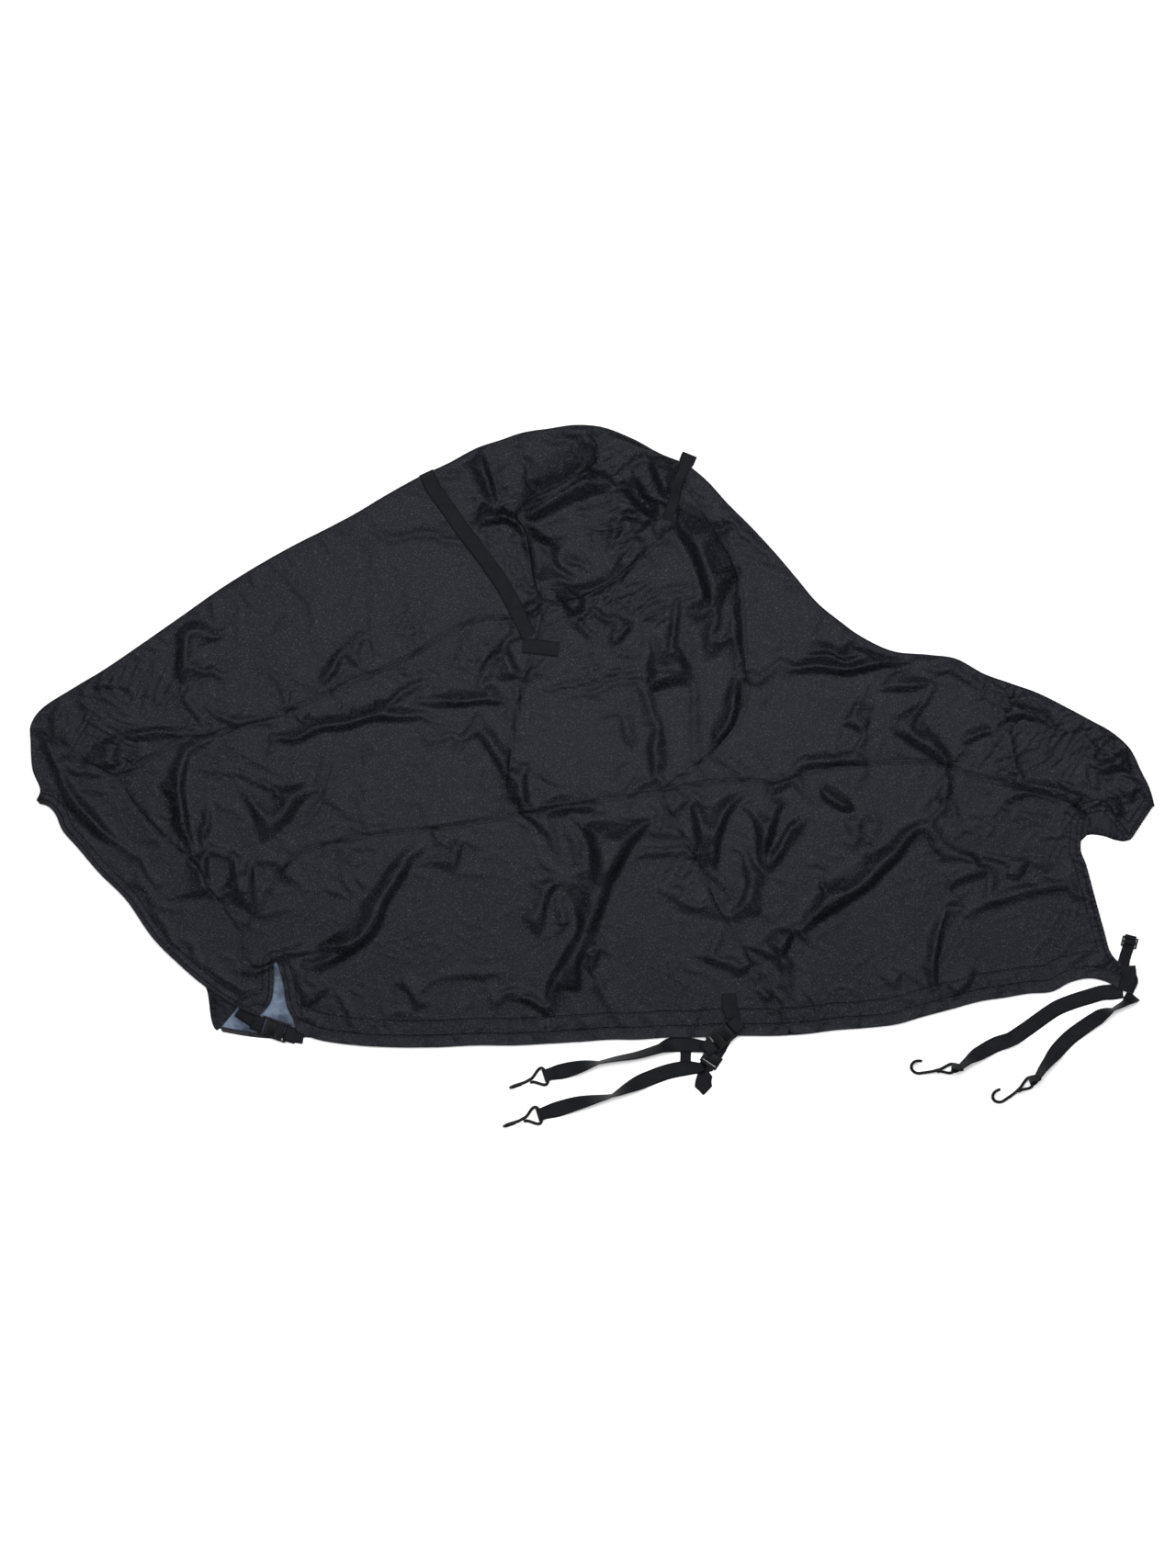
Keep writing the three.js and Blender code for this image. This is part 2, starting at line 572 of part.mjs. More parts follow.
function addHook(name, spec) {
  const stemEnd = spec.length - WIRE / 2 - HOOK_BEND;
  const points = [...HOOK_EYE, [stemEnd - 6, 0]].map(([x, y]) => new THREE.Vector3(x, y, 0));
  for (let turn = -80; turn <= 100; turn += 30) {
    const x = stemEnd + HOOK_BEND * Math.cos(turn * DEGREE);
    points.push(new THREE.Vector3(x, 0, HOOK_BEND * (1 + Math.sin(turn * DEGREE))));
  }
  points.push(new THREE.Vector3(stemEnd - 14, 0, 2 * HOOK_BEND - 3));
  const sides = 8;
  const ring = Array.from({ length: sides }, (_, k) => {
    const angle = (2 * Math.PI * k) / sides;
    return new THREE.Vector2((WIRE / 2) * Math.cos(angle), (WIRE / 2) * Math.sin(angle));
  });
  const extrudePath = new THREE.CatmullRomCurve3(points, false, 'centripetal');
  const geometry = new THREE.ExtrudeGeometry(new THREE.Shape(ring), { steps: 40, extrudePath });
  addMesh(name, geometry.applyMatrix4(hookPlacing(spec)), 'wire');
}

// A plate with slots: outline and slots in its own plan, X along the strap
function addPlate(name, outline, slots, thick, matrix) {
  let plate = prism(outline, 0, thick);
  for (const [low, high, half] of slots) {
    plate = plate.subtract(prism([[low, -half], [high, -half], [high, half], [low, half]], -1, thick + 1));
  }
  addMesh(name, geometryOf(plate).applyMatrix4(matrix), 'plastic');
}

// A side-release buckle of two halves; its own X runs from the socket to the plug
function addBuckle(name, { at, heading, base }) {
  const { width, socket, plug, thick, bar, slot, arm, armReach, gap } = BUCKLE;
  const half = width / 2;
  const inner = half - arm;
  const matrix = placing(at, base, heading);
  addPlate(`${name}_socket`, [
    [-socket, -half], [-armReach - gap, -half], [-armReach - gap, -inner], [-gap, -inner],
    [-gap, inner], [-armReach - gap, inner], [-armReach - gap, half], [-socket, half],
  ], [[bar - socket, bar + slot - socket, inner + 3]], thick, matrix);
  addPlate(`${name}_plug`, [
    [plug, -half], [plug, half], [-armReach, half], [-armReach, inner + gap],
    [0, inner + gap], [0, -inner - gap], [-armReach, -inner - gap], [-armReach, -half],
  ], [[plug - bar - slot, plug - bar, inner + 3]], thick, matrix);
}

// The loops of webbing round a buckle's two end bars
function buckleLoops({ at, heading, base }) {
  const { socket, plug, thick, bar } = BUCKLE;
  const level = base + thick / 2;
  const [dx, dy] = [Math.cos(heading * DEGREE), Math.sin(heading * DEGREE)];
  const along = (reach, turn) => placing([at[0] + reach * dx, at[1] + reach * dy], level, heading + turn);
  const radius = Math.hypot(bar, thick) / 2;
  return {
    atSocket: loopFrames(along(bar / 2 - socket, 0), radius),
    atPlug: loopFrames(along(plug - bar / 2, 180), radius),
  };
}

function addSlider(name, { at, heading, base, width, length }) {
  const { thick, bar } = SLIDER;
  const [x, y] = [length / 2, width / 2];
  const slots = [[bar - x, -bar / 2, y - bar], [bar / 2, x - bar, y - bar]];
  addPlate(name, [[-x, -y], [x, -y], [x, y], [-x, y]], slots, thick, placing(at, base, heading));
}

// The loop of webbing round a slider's first or last bar
function sliderLoop({ at, heading, base, length }, end) {
  const reach = end * (length - SLIDER.bar) / 2;
  const [dx, dy] = [Math.cos(heading * DEGREE), Math.sin(heading * DEGREE)];
  const turn = end > 0 ? 180 : 0;
  const matrix = placing([at[0] + reach * dx, at[1] + reach * dy], base + SLIDER.thick / 2, heading + turn);
  return loopFrames(matrix, Math.hypot(SLIDER.thick, SLIDER.bar) / 2);
}

// The strap over the hood turns round the ridge and ends against the floor
function ridgeTurn(first) {
  const heading = new THREE.Vector3(first[0][0] - first[1][0], first[0][1] - first[1][1], 0).normalize();
  const side = UP.clone().cross(heading);
  const radius = FOLD_RADIUS + 2 * CLEAR + WEB_THICK / 2;
  const frames = [];
  for (let turn = 130; turn >= 0; turn -= 26) {
    const angle = turn * DEGREE;
    const at = new THREE.Vector3(first[0][0], first[0][1], FOLD_RADIUS);
    at.addScaledVector(heading, radius * Math.sin(angle)).addScaledVector(UP, radius * Math.cos(angle));
    const normal = heading.clone().multiplyScalar(Math.sin(angle)).addScaledVector(UP, Math.cos(angle));
    frames.push({ at, side: side.clone().negate(), normal });
  }
  return frames;
}

// A strap is drawn in where it goes round a hook's eye
function hookLoop(spec) {
  return loopFrames(hookPlacing(spec), WIRE / 2).map((frame) => ({ ...frame, width: EYE_WEB_WIDTH }));
}

function addWebbing() {
  addStrip('hood_strap', [...ridgeTurn(HOOD_STRAP), ...laidFrames(HOOD_STRAP, 22, WEB_WIDTH).slice(1)]);
  addStrip('hood_strap_patch', laidFrames(HOOD_PATCH, 4, WEB_WIDTH));
  addStrip('windshield_tab', [
    ...freeFrames(WINDSHIELD_END, 1), ...laidFrames(WINDSHIELD_TAB, 8, WEB_WIDTH)]);

  const side = buckleLoops(SIDE_BUCKLE);
  addStrip('side_tab_near', [...laidFrames(SIDE_TAB, 3, WEB_WIDTH), ...side.atSocket]);
  addStrip('side_strap_near', [
    ...reversed(side.atPlug), ...freeFrames(SIDE_STRAP_NEAR, 28), ...hookLoop(HOOKS.side_hook_near)]);
  addStrip('side_strap_near_end', freeFrames(SIDE_NEAR_END, 3), SIDE_END_WIDTH);
  addStrip('side_tab_far', [...freeFrames(SIDE_FAR_TAB, 2), ...sliderLoop(SIDE_SLIDER, -1)]);
  addStrip('side_strap_far', [
    ...freeFrames(SIDE_FAR_END, 5), ...reversed(sliderLoop(SIDE_SLIDER, 1)).slice(2),
    ...freeFrames(SIDE_STRAP_FAR, 28), ...hookLoop(HOOKS.side_hook_far)]);

  addStrip('rear_corner_loop', laidFrames(REAR_CORNER, 4, WEB_WIDTH));
  addStrip('rear_end', [...freeFrames(REAR_END, 2), ...sliderLoop(REAR_SLIDER, -1)], REAR_END_WIDTH);
  addStrip('rear_strap_near', [...freeFrames(REAR_STRAP_NEAR, 34), ...hookLoop(HOOKS.rear_hook_near)]);
  addStrip('rear_strap_far', [...freeFrames(REAR_STRAP_FAR, 30), ...hookLoop(HOOKS.rear_hook_far)]);

  const front = buckleLoops(FRONT_BUCKLE);
  addStrip('front_tab_nose', [...freeFrames(FRONT_NOSE_TAB, 2), ...front.atSocket]);
  addStrip('front_tab_skirt', [...freeFrames(FRONT_SKIRT_TAB, 2), ...front.atPlug]);
}

addWebbing();
for (const [name, spec] of Object.entries(HOOKS)) {
  addHook(name, spec);
}
addBuckle('side_buckle', SIDE_BUCKLE);
addBuckle('front_buckle', FRONT_BUCKLE);
addSlider('side_slider', SIDE_SLIDER);
addSlider('rear_slider', REAR_SLIDER);

const box = new THREE.Box3().setFromObject(object);
const middle = box.getCenter(new THREE.Vector3());
object.position.set(-middle.x, -middle.y, -box.min.z);

export default object;
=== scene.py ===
# %% [markdown]
# # A snowmobile cover, empty and laid flat on its side
#
# A cover like this is a big bag of black coated polyester, open at the bottom. Sewn from a dozen shaped
# panels, it fits over the nose, the windshield and the seat of the machine. Here it is empty and folded in
# two along its top ridge: the far side lies on the floor, face down, and the near side lies on it.
#
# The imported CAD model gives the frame: where each panel, strap, hook and buckle lies. Blender gives the
# looks: thin cloth with its folds, its seams and hems, woven webbing and dipped wire.

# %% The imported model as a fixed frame
import math

import bmesh
import bpy
import numpy as np
from mathutils import Matrix, Vector


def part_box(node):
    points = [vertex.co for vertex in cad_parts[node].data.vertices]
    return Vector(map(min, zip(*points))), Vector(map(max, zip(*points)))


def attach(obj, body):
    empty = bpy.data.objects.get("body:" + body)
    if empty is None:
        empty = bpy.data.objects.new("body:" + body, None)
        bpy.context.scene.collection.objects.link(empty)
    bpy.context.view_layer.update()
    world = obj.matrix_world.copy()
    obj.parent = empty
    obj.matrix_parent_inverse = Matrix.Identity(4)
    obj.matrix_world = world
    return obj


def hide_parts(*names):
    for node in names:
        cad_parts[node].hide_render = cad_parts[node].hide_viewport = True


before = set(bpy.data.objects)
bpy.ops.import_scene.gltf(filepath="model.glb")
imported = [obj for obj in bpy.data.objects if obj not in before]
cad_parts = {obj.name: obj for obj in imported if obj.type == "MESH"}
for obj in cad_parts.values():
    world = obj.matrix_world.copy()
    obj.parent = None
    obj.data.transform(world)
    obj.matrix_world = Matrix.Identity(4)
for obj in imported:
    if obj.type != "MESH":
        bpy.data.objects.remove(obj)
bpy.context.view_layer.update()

# %% [markdown]
# ## Millimetres on the floor plan
#
# A pattern cutter works in millimetres, so every size below is in millimetres on one floor plan: x towards
# the tail, y towards the ridge. The CAD model is centred on its box, so one known piece, the rear slider,
# tells how far the plan has to shift to meet it.

# %% Plan to metres
MM = 0.001
REAR_SLIDER_MIDDLE = (1404, -436)


def plan_shift():
    low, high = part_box("rear_slider")
    middle = (low + high) / 2
    return np.array([middle.x - REAR_SLIDER_MIDDLE[0] * MM, middle.y - REAR_SLIDER_MIDDLE[1] * MM, 0.0])


SHIFT = plan_shift()


def metres(points):
    return np.asarray(points, float) * MM + SHIFT


print("plan shift, mm:", np.round(SHIFT / MM, 2))

# %% [markdown]
# ## Camera, floor and light
#
# The photograph looks straight down on the cover from well above it. The floor is plain and pale. One long
# soft light hangs over the ridge side of the cover, so level cloth picks up a soft sheen and every slope
# that faces the hem falls dark, as in the photograph.

# %% Camera
VIEW_MIDDLE = (-9.6, -22.8)
PHOTO_LENGTH, MM_PER_PIXEL = 1707, 2.4
VIEW_LENGTH = PHOTO_LENGTH * MM_PER_PIXEL
LENS, SENSOR = 85, 36

camera_data = bpy.data.cameras.new("camera")
camera_data.lens = LENS
camera_data.sensor_width = SENSOR
camera = bpy.data.objects.new("camera", camera_data)
bpy.context.scene.collection.objects.link(camera)
camera_height = VIEW_LENGTH * LENS / SENSOR
camera.location = metres([*VIEW_MIDDLE, camera_height])
bpy.context.scene.camera = camera
bpy.context.scene.view_settings.view_transform = "Standard"
print("camera height, m:", round(camera.location.z, 2))


# %% Helpers for nodes and for pieces
def add_node(tree, kind, inputs=None, **settings):
    made = tree.nodes.new("ShaderNode" + kind)
    for name, value in settings.items():
        setattr(made, name, value)
    for socket, value in (inputs or {}).items():
        if isinstance(value, bpy.types.NodeSocket):
            tree.links.new(value, made.inputs[socket])
        else:
            made.inputs[socket].default_value = value
    return made


def new_material(name, **sockets):
    """A material with its Principled node, whose sockets are set here"""
    material = bpy.data.materials.new(name)
    material.use_nodes = True
    tree = material.node_tree
    shader = next(n for n in tree.nodes if n.type == "BSDF_PRINCIPLED")
    for socket, value in sockets.items():
        shader.inputs[socket.replace("_", " ")].default_value = value
    return material, tree, shader


def link_piece(name, mesh, materials):
    piece = bpy.data.objects.new(name, mesh)
    bpy.context.scene.collection.objects.link(piece)
    for material in materials:
        mesh.materials.append(material)
    return piece


print("three helpers: a node, a material and a piece")

# %% Floor and light
FLOOR_SIZE, FLOOR_DROP, FLOOR_ROUGHNESS = 40, 0.0006, 0.9
FLOOR_BASE = (0.92, 0.92, 0.92, 1)
LIGHT_PLACE, LIGHT_AIM = (0.1, 0.6, 4.4), (0.1, 0.0, 0)
LIGHT_SIZE, LIGHT_POWER = (5.6, 3.0), 440
WORLD_GREY, WORLD_STRENGTH = (0.93, 0.95, 1.0, 1), 0.18

floor_shape = bmesh.new()
bmesh.ops.create_grid(floor_shape, x_segments=1, y_segments=1, size=FLOOR_SIZE / 2)
floor_mesh = bpy.data.meshes.new("floor")
floor_shape.to_mesh(floor_mesh)
floor_shape.free()
floor_material, _, _ = new_material("pale_floor", Base_Color=FLOOR_BASE, Roughness=FLOOR_ROUGHNESS)
floor = link_piece("floor", floor_mesh, [floor_material])
floor_mesh.transform(Matrix.Translation((0, 0, -FLOOR_DROP)))

light_data = bpy.data.lights.new("long_soft_light", "AREA")
light_data.shape = "RECTANGLE"
light_data.size, light_data.size_y = LIGHT_SIZE
light_data.energy = LIGHT_POWER
light = bpy.data.objects.new("long_soft_light", light_data)
bpy.context.scene.collection.objects.link(light)
light.location = LIGHT_PLACE
light.rotation_euler = (Vector(LIGHT_AIM) - Vector(LIGHT_PLACE)).to_track_quat("-Z", "Y").to_euler()

world = bpy.data.worlds.new("studio")
bpy.context.scene.world = world
world.use_nodes = True
background = next(n for n in world.node_tree.nodes if n.type == "BACKGROUND")
background.inputs["Color"].default_value = WORLD_GREY
background.inputs["Strength"].default_value = WORLD_STRENGTH
print("floor, one soft light and a dim pale room")

# %% [markdown]
# ## The coated cloth
#
# The shell is woven polyester with a coating: very dark, slightly blue, with a broad soft sheen and a fine
# grain. The sparkle of that grain, where the threads catch the light, is painted highlight: bright flecks in
# the colour. The back of the cloth is coated too: silvery in the hood and the front skirt, black at the nose,
# the seat and the tail. Bolts of cloth are never even, so the colour and the gloss wander a little. Weave and
# stitches are far smaller than a fold, so they are bump in the material, drawn from the piece's own measures:
# UV in metres for the weave, and the distances from seams and hems, kept on the mesh, for the rows of
# stitches.


# %% Noise, measures and thin lines in a material
STITCH_PITCH, STITCH_GAP, THREAD_HALF, LINE_CORE = 0.0042, 0.16, 0.0009, 0.35
WEAVE_PITCH = 0.0009


def metres_uv(tree):
    return add_node(tree, "UVMap", uv_map="cut").outputs["UV"]


def math_node(tree, operation, *values, clamp=False):
    inputs = dict(enumerate(values))
    return add_node(tree, "Math", inputs, operation=operation, use_clamp=clamp).outputs[0]


def noise(tree, scale, detail, roughness=0.5):
    place = add_node(tree, "TexCoord").outputs["Object"]
    return add_node(tree, "TexNoise", {"Vector": place, "Scale": scale, "Detail": detail,
                                       "Roughness": roughness}).outputs[0]


def map_range(tree, value, spread, to=(0.0, 1.0)):
    """Stretches the values between two limits to two others"""
    return add_node(tree, "MapRange", {"Value": value, "From Min": spread[0], "From Max": spread[1],
                                       "To Min": to[0], "To Max": to[1]}).outputs[0]


def measure(tree, name):
    return add_node(tree, "Attribute", attribute_name=name).outputs["Fac"]


def line_at(tree, gap, at, half):
    """1 in a narrow line at that distance from a seam or hem, with soft sides"""
    away = math_node(tree, "ABSOLUTE", math_node(tree, "SUBTRACT", gap, at))
    return map_range(tree, away, (half, LINE_CORE * half))


def stitch_row(tree, gap, run, at, half=THREAD_HALF):
    """A row of thread: 1 on the stitches, 0 between them"""
    step = math_node(tree, "PINGPONG", run, STITCH_PITCH / 2)
    on = math_node(tree, "GREATER_THAN", step, STITCH_GAP * STITCH_PITCH)
    return math_node(tree, "MULTIPLY", line_at(tree, gap, at, half), on)


print("stitches, mm:", STITCH_PITCH / MM, "threads, mm:", WEAVE_PITCH / MM)


# %% Weave, bumps and mixed colours
def ribs_along(tree, scale, direction, profile="SIN", distortion=0.5):
    """Parallel ribs over the piece's own UV"""
    return add_node(tree, "TexWave", {"Vector": metres_uv(tree), "Scale": scale, "Distortion": distortion,
                                      "Detail": 1.0},
                    wave_type="BANDS", bands_direction=direction, wave_profile=profile).outputs["Fac"]


def weave(tree):
    """Threads over and under each other: two sets of ribs at right angles"""
    ribs = [ribs_along(tree, 0.5 / WEAVE_PITCH, direction, distortion=0.6) for direction in ("X", "Y")]
    return math_node(tree, "MULTIPLY", *ribs)


def add_bump(tree, shader, layers):
    """Bumps on top of each other: height, distance in metres, strength"""
    normal = None
    for height, distance, strength in layers:
        inputs = {"Height": height, "Distance": distance, "Strength": strength}
        if normal is not None:
            inputs["Normal"] = normal
        normal = add_node(tree, "Bump", inputs).outputs["Normal"]
    tree.links.new(normal, shader.inputs["Normal"])


def blend_colours(tree, amount, low, high):
    mix = add_node(tree, "Mix", data_type="RGBA")
    for name, value in (("A", low), ("B", high)):
        socket = next(s for s in mix.inputs if s.name == name and s.type == "RGBA")
        if isinstance(value, bpy.types.NodeSocket):
            tree.links.new(value, socket)
        else:
            socket.default_value = value
    tree.links.new(amount, next(s for s in mix.inputs if s.name == "Factor" and s.type == "VALUE"))
    return next(s for s in mix.outputs if s.type == "RGBA")


print("three more: a weave, a stack of bumps and a mix of colours")

# %% Black shell, silvery back, and black back
SHELL_DARK, SHELL_LIGHT = (0.0014, 0.0015, 0.0022, 1), (0.0062, 0.0066, 0.0092, 1)
# Painted glint: the bright colour of the flecks that stand for threads catching the light
PAINTED_GLINT = (0.036, 0.038, 0.045, 1)
SHEEN_TINT = (0.84, 0.87, 1, 1)
THREAD_BLACK = (0.006, 0.0062, 0.007, 1)
BACK_DARK, BACK_LIGHT = (0.018, 0.027, 0.045, 1), (0.085, 0.112, 0.158, 1)
HEM_WIDTH, HEM_SECOND, SEAM_STITCH = 0.029, 0.068, 0.006
HEM_GROOVE, SECOND_GROOVE, SEAM_GROOVE, SEAM_GROOVE_SHARE = 0.0045, 0.004, 0.0025, 0.25
BACK_HEM, BACK_STITCH = 0.013, 0.010
PATCH_SIZE, GRAIN_SIZE, BACK_PATCH_SIZE, CREASE_SIZE = 7.0, 330.0, 16.0, 70.0
GRAIN_BUMP, WEAVE_BUMP = (0.0010, 0.5), (0.00012, 0.5)
GROOVE_BUMP, THREAD_BUMP = (-0.0012, 0.9), (0.0004, 0.8)
CREASE_BUMP, BACK_WEAVE_BUMP, BACK_THREAD_BUMP = (0.0034, 0.8), (0.0001, 0.5), (0.0005, 0.8)
PATCH_SHARE, GRAIN_SHARE = 0.45, 0.55
TONE_SPREAD, GLINT_SPREAD, PATCH_SPREAD, BACK_SPREAD = (0.38, 0.64), (0.57, 0.72), (0.3, 0.7), (0.42, 0.6)
SHELL_ROUGHNESS, BACK_ROUGHNESS = (0.38, 0.47), (0.3, 0.42)


def shell_material():
    material, tree, shader = new_material("black_coated_cloth", IOR=1.165, Specular_Tint=SHEEN_TINT)
    patchy = noise(tree, PATCH_SIZE, 3.0)
    grain = noise(tree, GRAIN_SIZE, 2.0, roughness=0.7)
    hem, seam = measure(tree, "hem_gap"), measure(tree, "seam_gap")
    hem_run, seam_run = measure(tree, "hem_run"), measure(tree, "seam_run")
    rows = math_node(tree, "MAXIMUM", stitch_row(tree, hem, hem_run, HEM_WIDTH),
                     stitch_row(tree, hem, hem_run, HEM_SECOND))
    rows = math_node(tree, "MAXIMUM", rows, stitch_row(tree, seam, seam_run, SEAM_STITCH))
    tone = math_node(tree, "ADD", math_node(tree, "MULTIPLY", patchy, PATCH_SHARE),
                     math_node(tree, "MULTIPLY", grain, GRAIN_SHARE))
    colour = blend_colours(tree, map_range(tree, tone, TONE_SPREAD), SHELL_DARK, SHELL_LIGHT)
    # Painted highlight: where the grain noise is high, the colour turns to bright flecks, as glints of the
    # threads
    colour = blend_colours(tree, map_range(tree, grain, GLINT_SPREAD), colour, PAINTED_GLINT)
    tree.links.new(blend_colours(tree, rows, colour, THREAD_BLACK), shader.inputs["Base Color"])
    tree.links.new(map_range(tree, patchy, PATCH_SPREAD, SHELL_ROUGHNESS), shader.inputs["Roughness"])
    groove = math_node(tree, "MAXIMUM", line_at(tree, hem, HEM_WIDTH, HEM_GROOVE),
                       line_at(tree, hem, HEM_SECOND, SECOND_GROOVE))
    seam_groove = math_node(tree, "MULTIPLY", line_at(tree, seam, SEAM_STITCH, SEAM_GROOVE),
                            SEAM_GROOVE_SHARE)
    groove = math_node(tree, "MAXIMUM", groove, seam_groove)
    add_bump(tree, shader, [(grain, *GRAIN_BUMP), (weave(tree), *WEAVE_BUMP), (groove, *GROOVE_BUMP),
                            (rows, *THREAD_BUMP)])
    return material


def back_material(name, dark, light, **shine):
    """The back of the cloth, with the black hem band turned up on it"""
    material, tree, shader = new_material(name, **shine)
    patchy = noise(tree, BACK_PATCH_SIZE, 4.0)
    hem = measure(tree, "hem_gap")
    band = math_node(tree, "LESS_THAN", hem, BACK_HEM)
    rows = stitch_row(tree, hem, measure(tree, "hem_run"), BACK_STITCH)
    colour = blend_colours(tree, map_range(tree, patchy, BACK_SPREAD), dark, light)
    tree.links.new(blend_colours(tree, band, colour, SHELL_LIGHT), shader.inputs["Base Color"])
    tree.links.new(map_range(tree, patchy, PATCH_SPREAD, BACK_ROUGHNESS), shader.inputs["Roughness"])
    add_bump(tree, shader, [(noise(tree, CREASE_SIZE, 5.0), *CREASE_BUMP), (weave(tree), *BACK_WEAVE_BUMP),
                            (rows, *BACK_THREAD_BUMP)])
    return material


shell = shell_material()
silver_back = back_material("silvery_cloth_back", BACK_DARK, BACK_LIGHT, IOR=1.21)
black_back = back_material("black_cloth_back", SHELL_DARK, SHELL_LIGHT, IOR=1.15, Specular_Tint=SHEEN_TINT)
print("cloth materials:", shell.name, silver_back.name, black_back.name)

# %% [markdown]
# ## Smooth lines on the plan
#
# Ridge, hems and seams are drawn as a few measured points, as a tailor pins a curve, and a smooth line goes
# through them. A centripetal Catmull-Rom curve never overshoots or loops between close points, which
# matters where a seam turns sharply.


# %% Curves through measured points
def smooth(points, spacing=5.0):
    """Points about `spacing` mm apart on a centripetal Catmull-Rom curve through the given ones"""
    points = np.asarray(points, float)
    if len(points) < 3:
        count = max(2, int(np.linalg.norm(points[-1] - points[0]) / spacing) + 1)
        return points[0] + np.linspace(0, 1, count)[:, None] * (points[-1] - points[0])
    padded = np.vstack([2 * points[0] - points[1], points, 2 * points[-1] - points[-2]])
    line = []
    for i in range(1, len(padded) - 2):
        p = padded[i - 1:i + 3]
        chords = np.maximum(1e-6, np.linalg.norm(np.diff(p, axis=0), axis=1))
        knots = np.concatenate([[0], np.cumsum(chords ** 0.5)])
        count = max(2, int(np.linalg.norm(p[2] - p[1]) / spacing) + 1)
        t = np.linspace(knots[1], knots[2], count, endpoint=False)[:, None]

        def blend(first, last, a, b):
            return (knots[last] - t) / (knots[last] - knots[first]) * a \
                + (t - knots[first]) / (knots[last] - knots[first]) * b

        low = [blend(j, j + 1, p[j], p[j + 1]) for j in range(3)]
        mid = [blend(j, j + 2, low[j], low[j + 1]) for j in range(2)]
        line.append(blend(1, 2, *mid))
    return np.vstack([*line, points[-1:]])


def nearest(line, point):
    return int(np.argmin(np.linalg.norm(line - np.asarray(point, float), axis=1)))


def between(line, start, end):
    """The stretch of a smooth line from near one point to near another, with those points as its ends"""
    i, j = nearest(line, start), nearest(line, end)
    stretch = line[i:j + 1] if i <= j else line[j:i + 1][::-1]
    return np.vstack([[start], stretch[1:-1], [end]])


def join(*lines):
    return np.vstack([lines[0], *[line[1:] for line in lines[1:]]])


def run_along(line):
    return np.concatenate([[0], np.cumsum(np.linalg.norm(np.diff(line, axis=0), axis=1))])


def at_shares(line, shares):
    run = run_along(line)
    return np.column_stack([np.interp(np.asarray(shares) * run[-1], run, line[:, k]) for k in (0, 1)])


print("a smooth seam of 3 points:", len(smooth([(0, 0), (50, 20), (100, 0)])), "points")


# %% How far a point lies off a line
def off_line(x, y, line, reach=np.inf):
    """Signed distance to a line, positive on its right, and the run along it, for points within reach"""
    best = np.full(x.shape, np.inf)
    side, run = np.zeros(x.shape), np.zeros(x.shape)
    low, high = line.min(0) - reach, line.max(0) + reach
    chosen = np.flatnonzero((x > low[0]) & (x < high[0]) & (y > low[1]) & (y < high[1]))
    px, py = x[chosen], y[chosen]
    along = run_along(line)
    near, near_side, near_run = np.full(px.shape, np.inf), np.zeros(px.shape), np.zeros(px.shape)
    for (ax, ay), (bx, by), start in zip(line[:-1], line[1:], along[:-1]):
        length = math.hypot(bx - ax, by - ay)
        if length < 1e-9:
            continue
        dx, dy = (bx - ax) / length, (by - ay) / length
        t = np.clip((px - ax) * dx + (py - ay) * dy, 0, length)
        ox, oy = px - ax - t * dx, py - ay - t * dy
        away = np.hypot(ox, oy)
        closer = away < near
        near[closer] = away[closer]
        near_side[closer] = (px * dy - py * dx - (ax * dy - ay * dx))[closer]
        near_run[closer] = start + t[closer]
    best[chosen], side[chosen], run[chosen] = near, np.sign(near_side), near_run
    return best, side, run, along[-1]


def ease(t):
    t = np.clip(t, 0, 1)
    return t * t * (3 - 2 * t)


print("off a seam by, mm:", off_line(np.array([30.0]), np.array([7.0]), np.array([(0, 0), (100, 0)]))[0])

# %% [markdown]
# ## The outline
#
# The ridge runs from the nose, over the windshield and down to the tail. The hem is the open bottom edge.
# On the far side it shows only at the front corner, where the near side is drawn back.

# %% Ridge and hems
RIDGE = [(-1450, -65), (-1440, -40), (-1460, 15), (-1465, 85), (-1465, 130), (-1440, 170), (-1350, 230),
         (-1275, 275), (-1165, 350), (-1065, 420), (-980, 480), (-910, 525), (-825, 575), (-760, 610),
         (-700, 640), (-615, 685), (-540, 730), (-450, 780), (-375, 815), (-300, 855), (-240, 875),
         (-180, 895), (-115, 905), (-45, 915), (25, 910), (105, 880), (180, 840), (250, 810), (300, 770),
         (355, 710), (420, 645), (480, 580), (535, 515), (590, 450), (645, 405), (700, 365), (785, 325),
         (880, 315), (950, 305), (1025, 265), (1095, 240), (1165, 215), (1245, 175), (1310, 140),
         (1355, 115), (1405, 70), (1435, 10), (1455, -30), (1470, -80)]
NOSE_HEM = [(-1440, -75), (-1420, -80), (-1400, -100), (-1380, -145), (-1345, -185), (-1285, -255),
            (-1215, -325), (-1145, -425), (-1075, -495), (-1010, -550), (-925, -605), (-871, -629)]
NEAR_HEM = [(-815, -655), (-769, -669), (-715, -690), (-610, -705), (-515, -710), (-405, -710),
            (-300, -705), (-200, -705), (-105, -700), (-20, -695), (50, -690), (120, -690), (195, -685),
            (265, -685), (340, -680), (410, -680), (480, -680), (560, -675), (640, -665), (710, -660),
            (795, -650), (865, -630), (940, -610), (1015, -590), (1080, -580), (1140, -570), (1200, -565),
            (1250, -540), (1300, -530), (1345, -540), (1380, -560), (1412, -571)]
FAR_CORNER = [(-1075, -490), (-1012, -545), (-980, -668), (-885, -684), (-830, -688), (-780, -686),
              (-715, -686), (-610, -699), (-515, -704), (-405, -704), (-300, -699)]
FAR_HEM_HIGHER, FAR_HEM_FROM = 6, -250
LAYER_TOP, FOLD_RADIUS = 10.0, 5.0

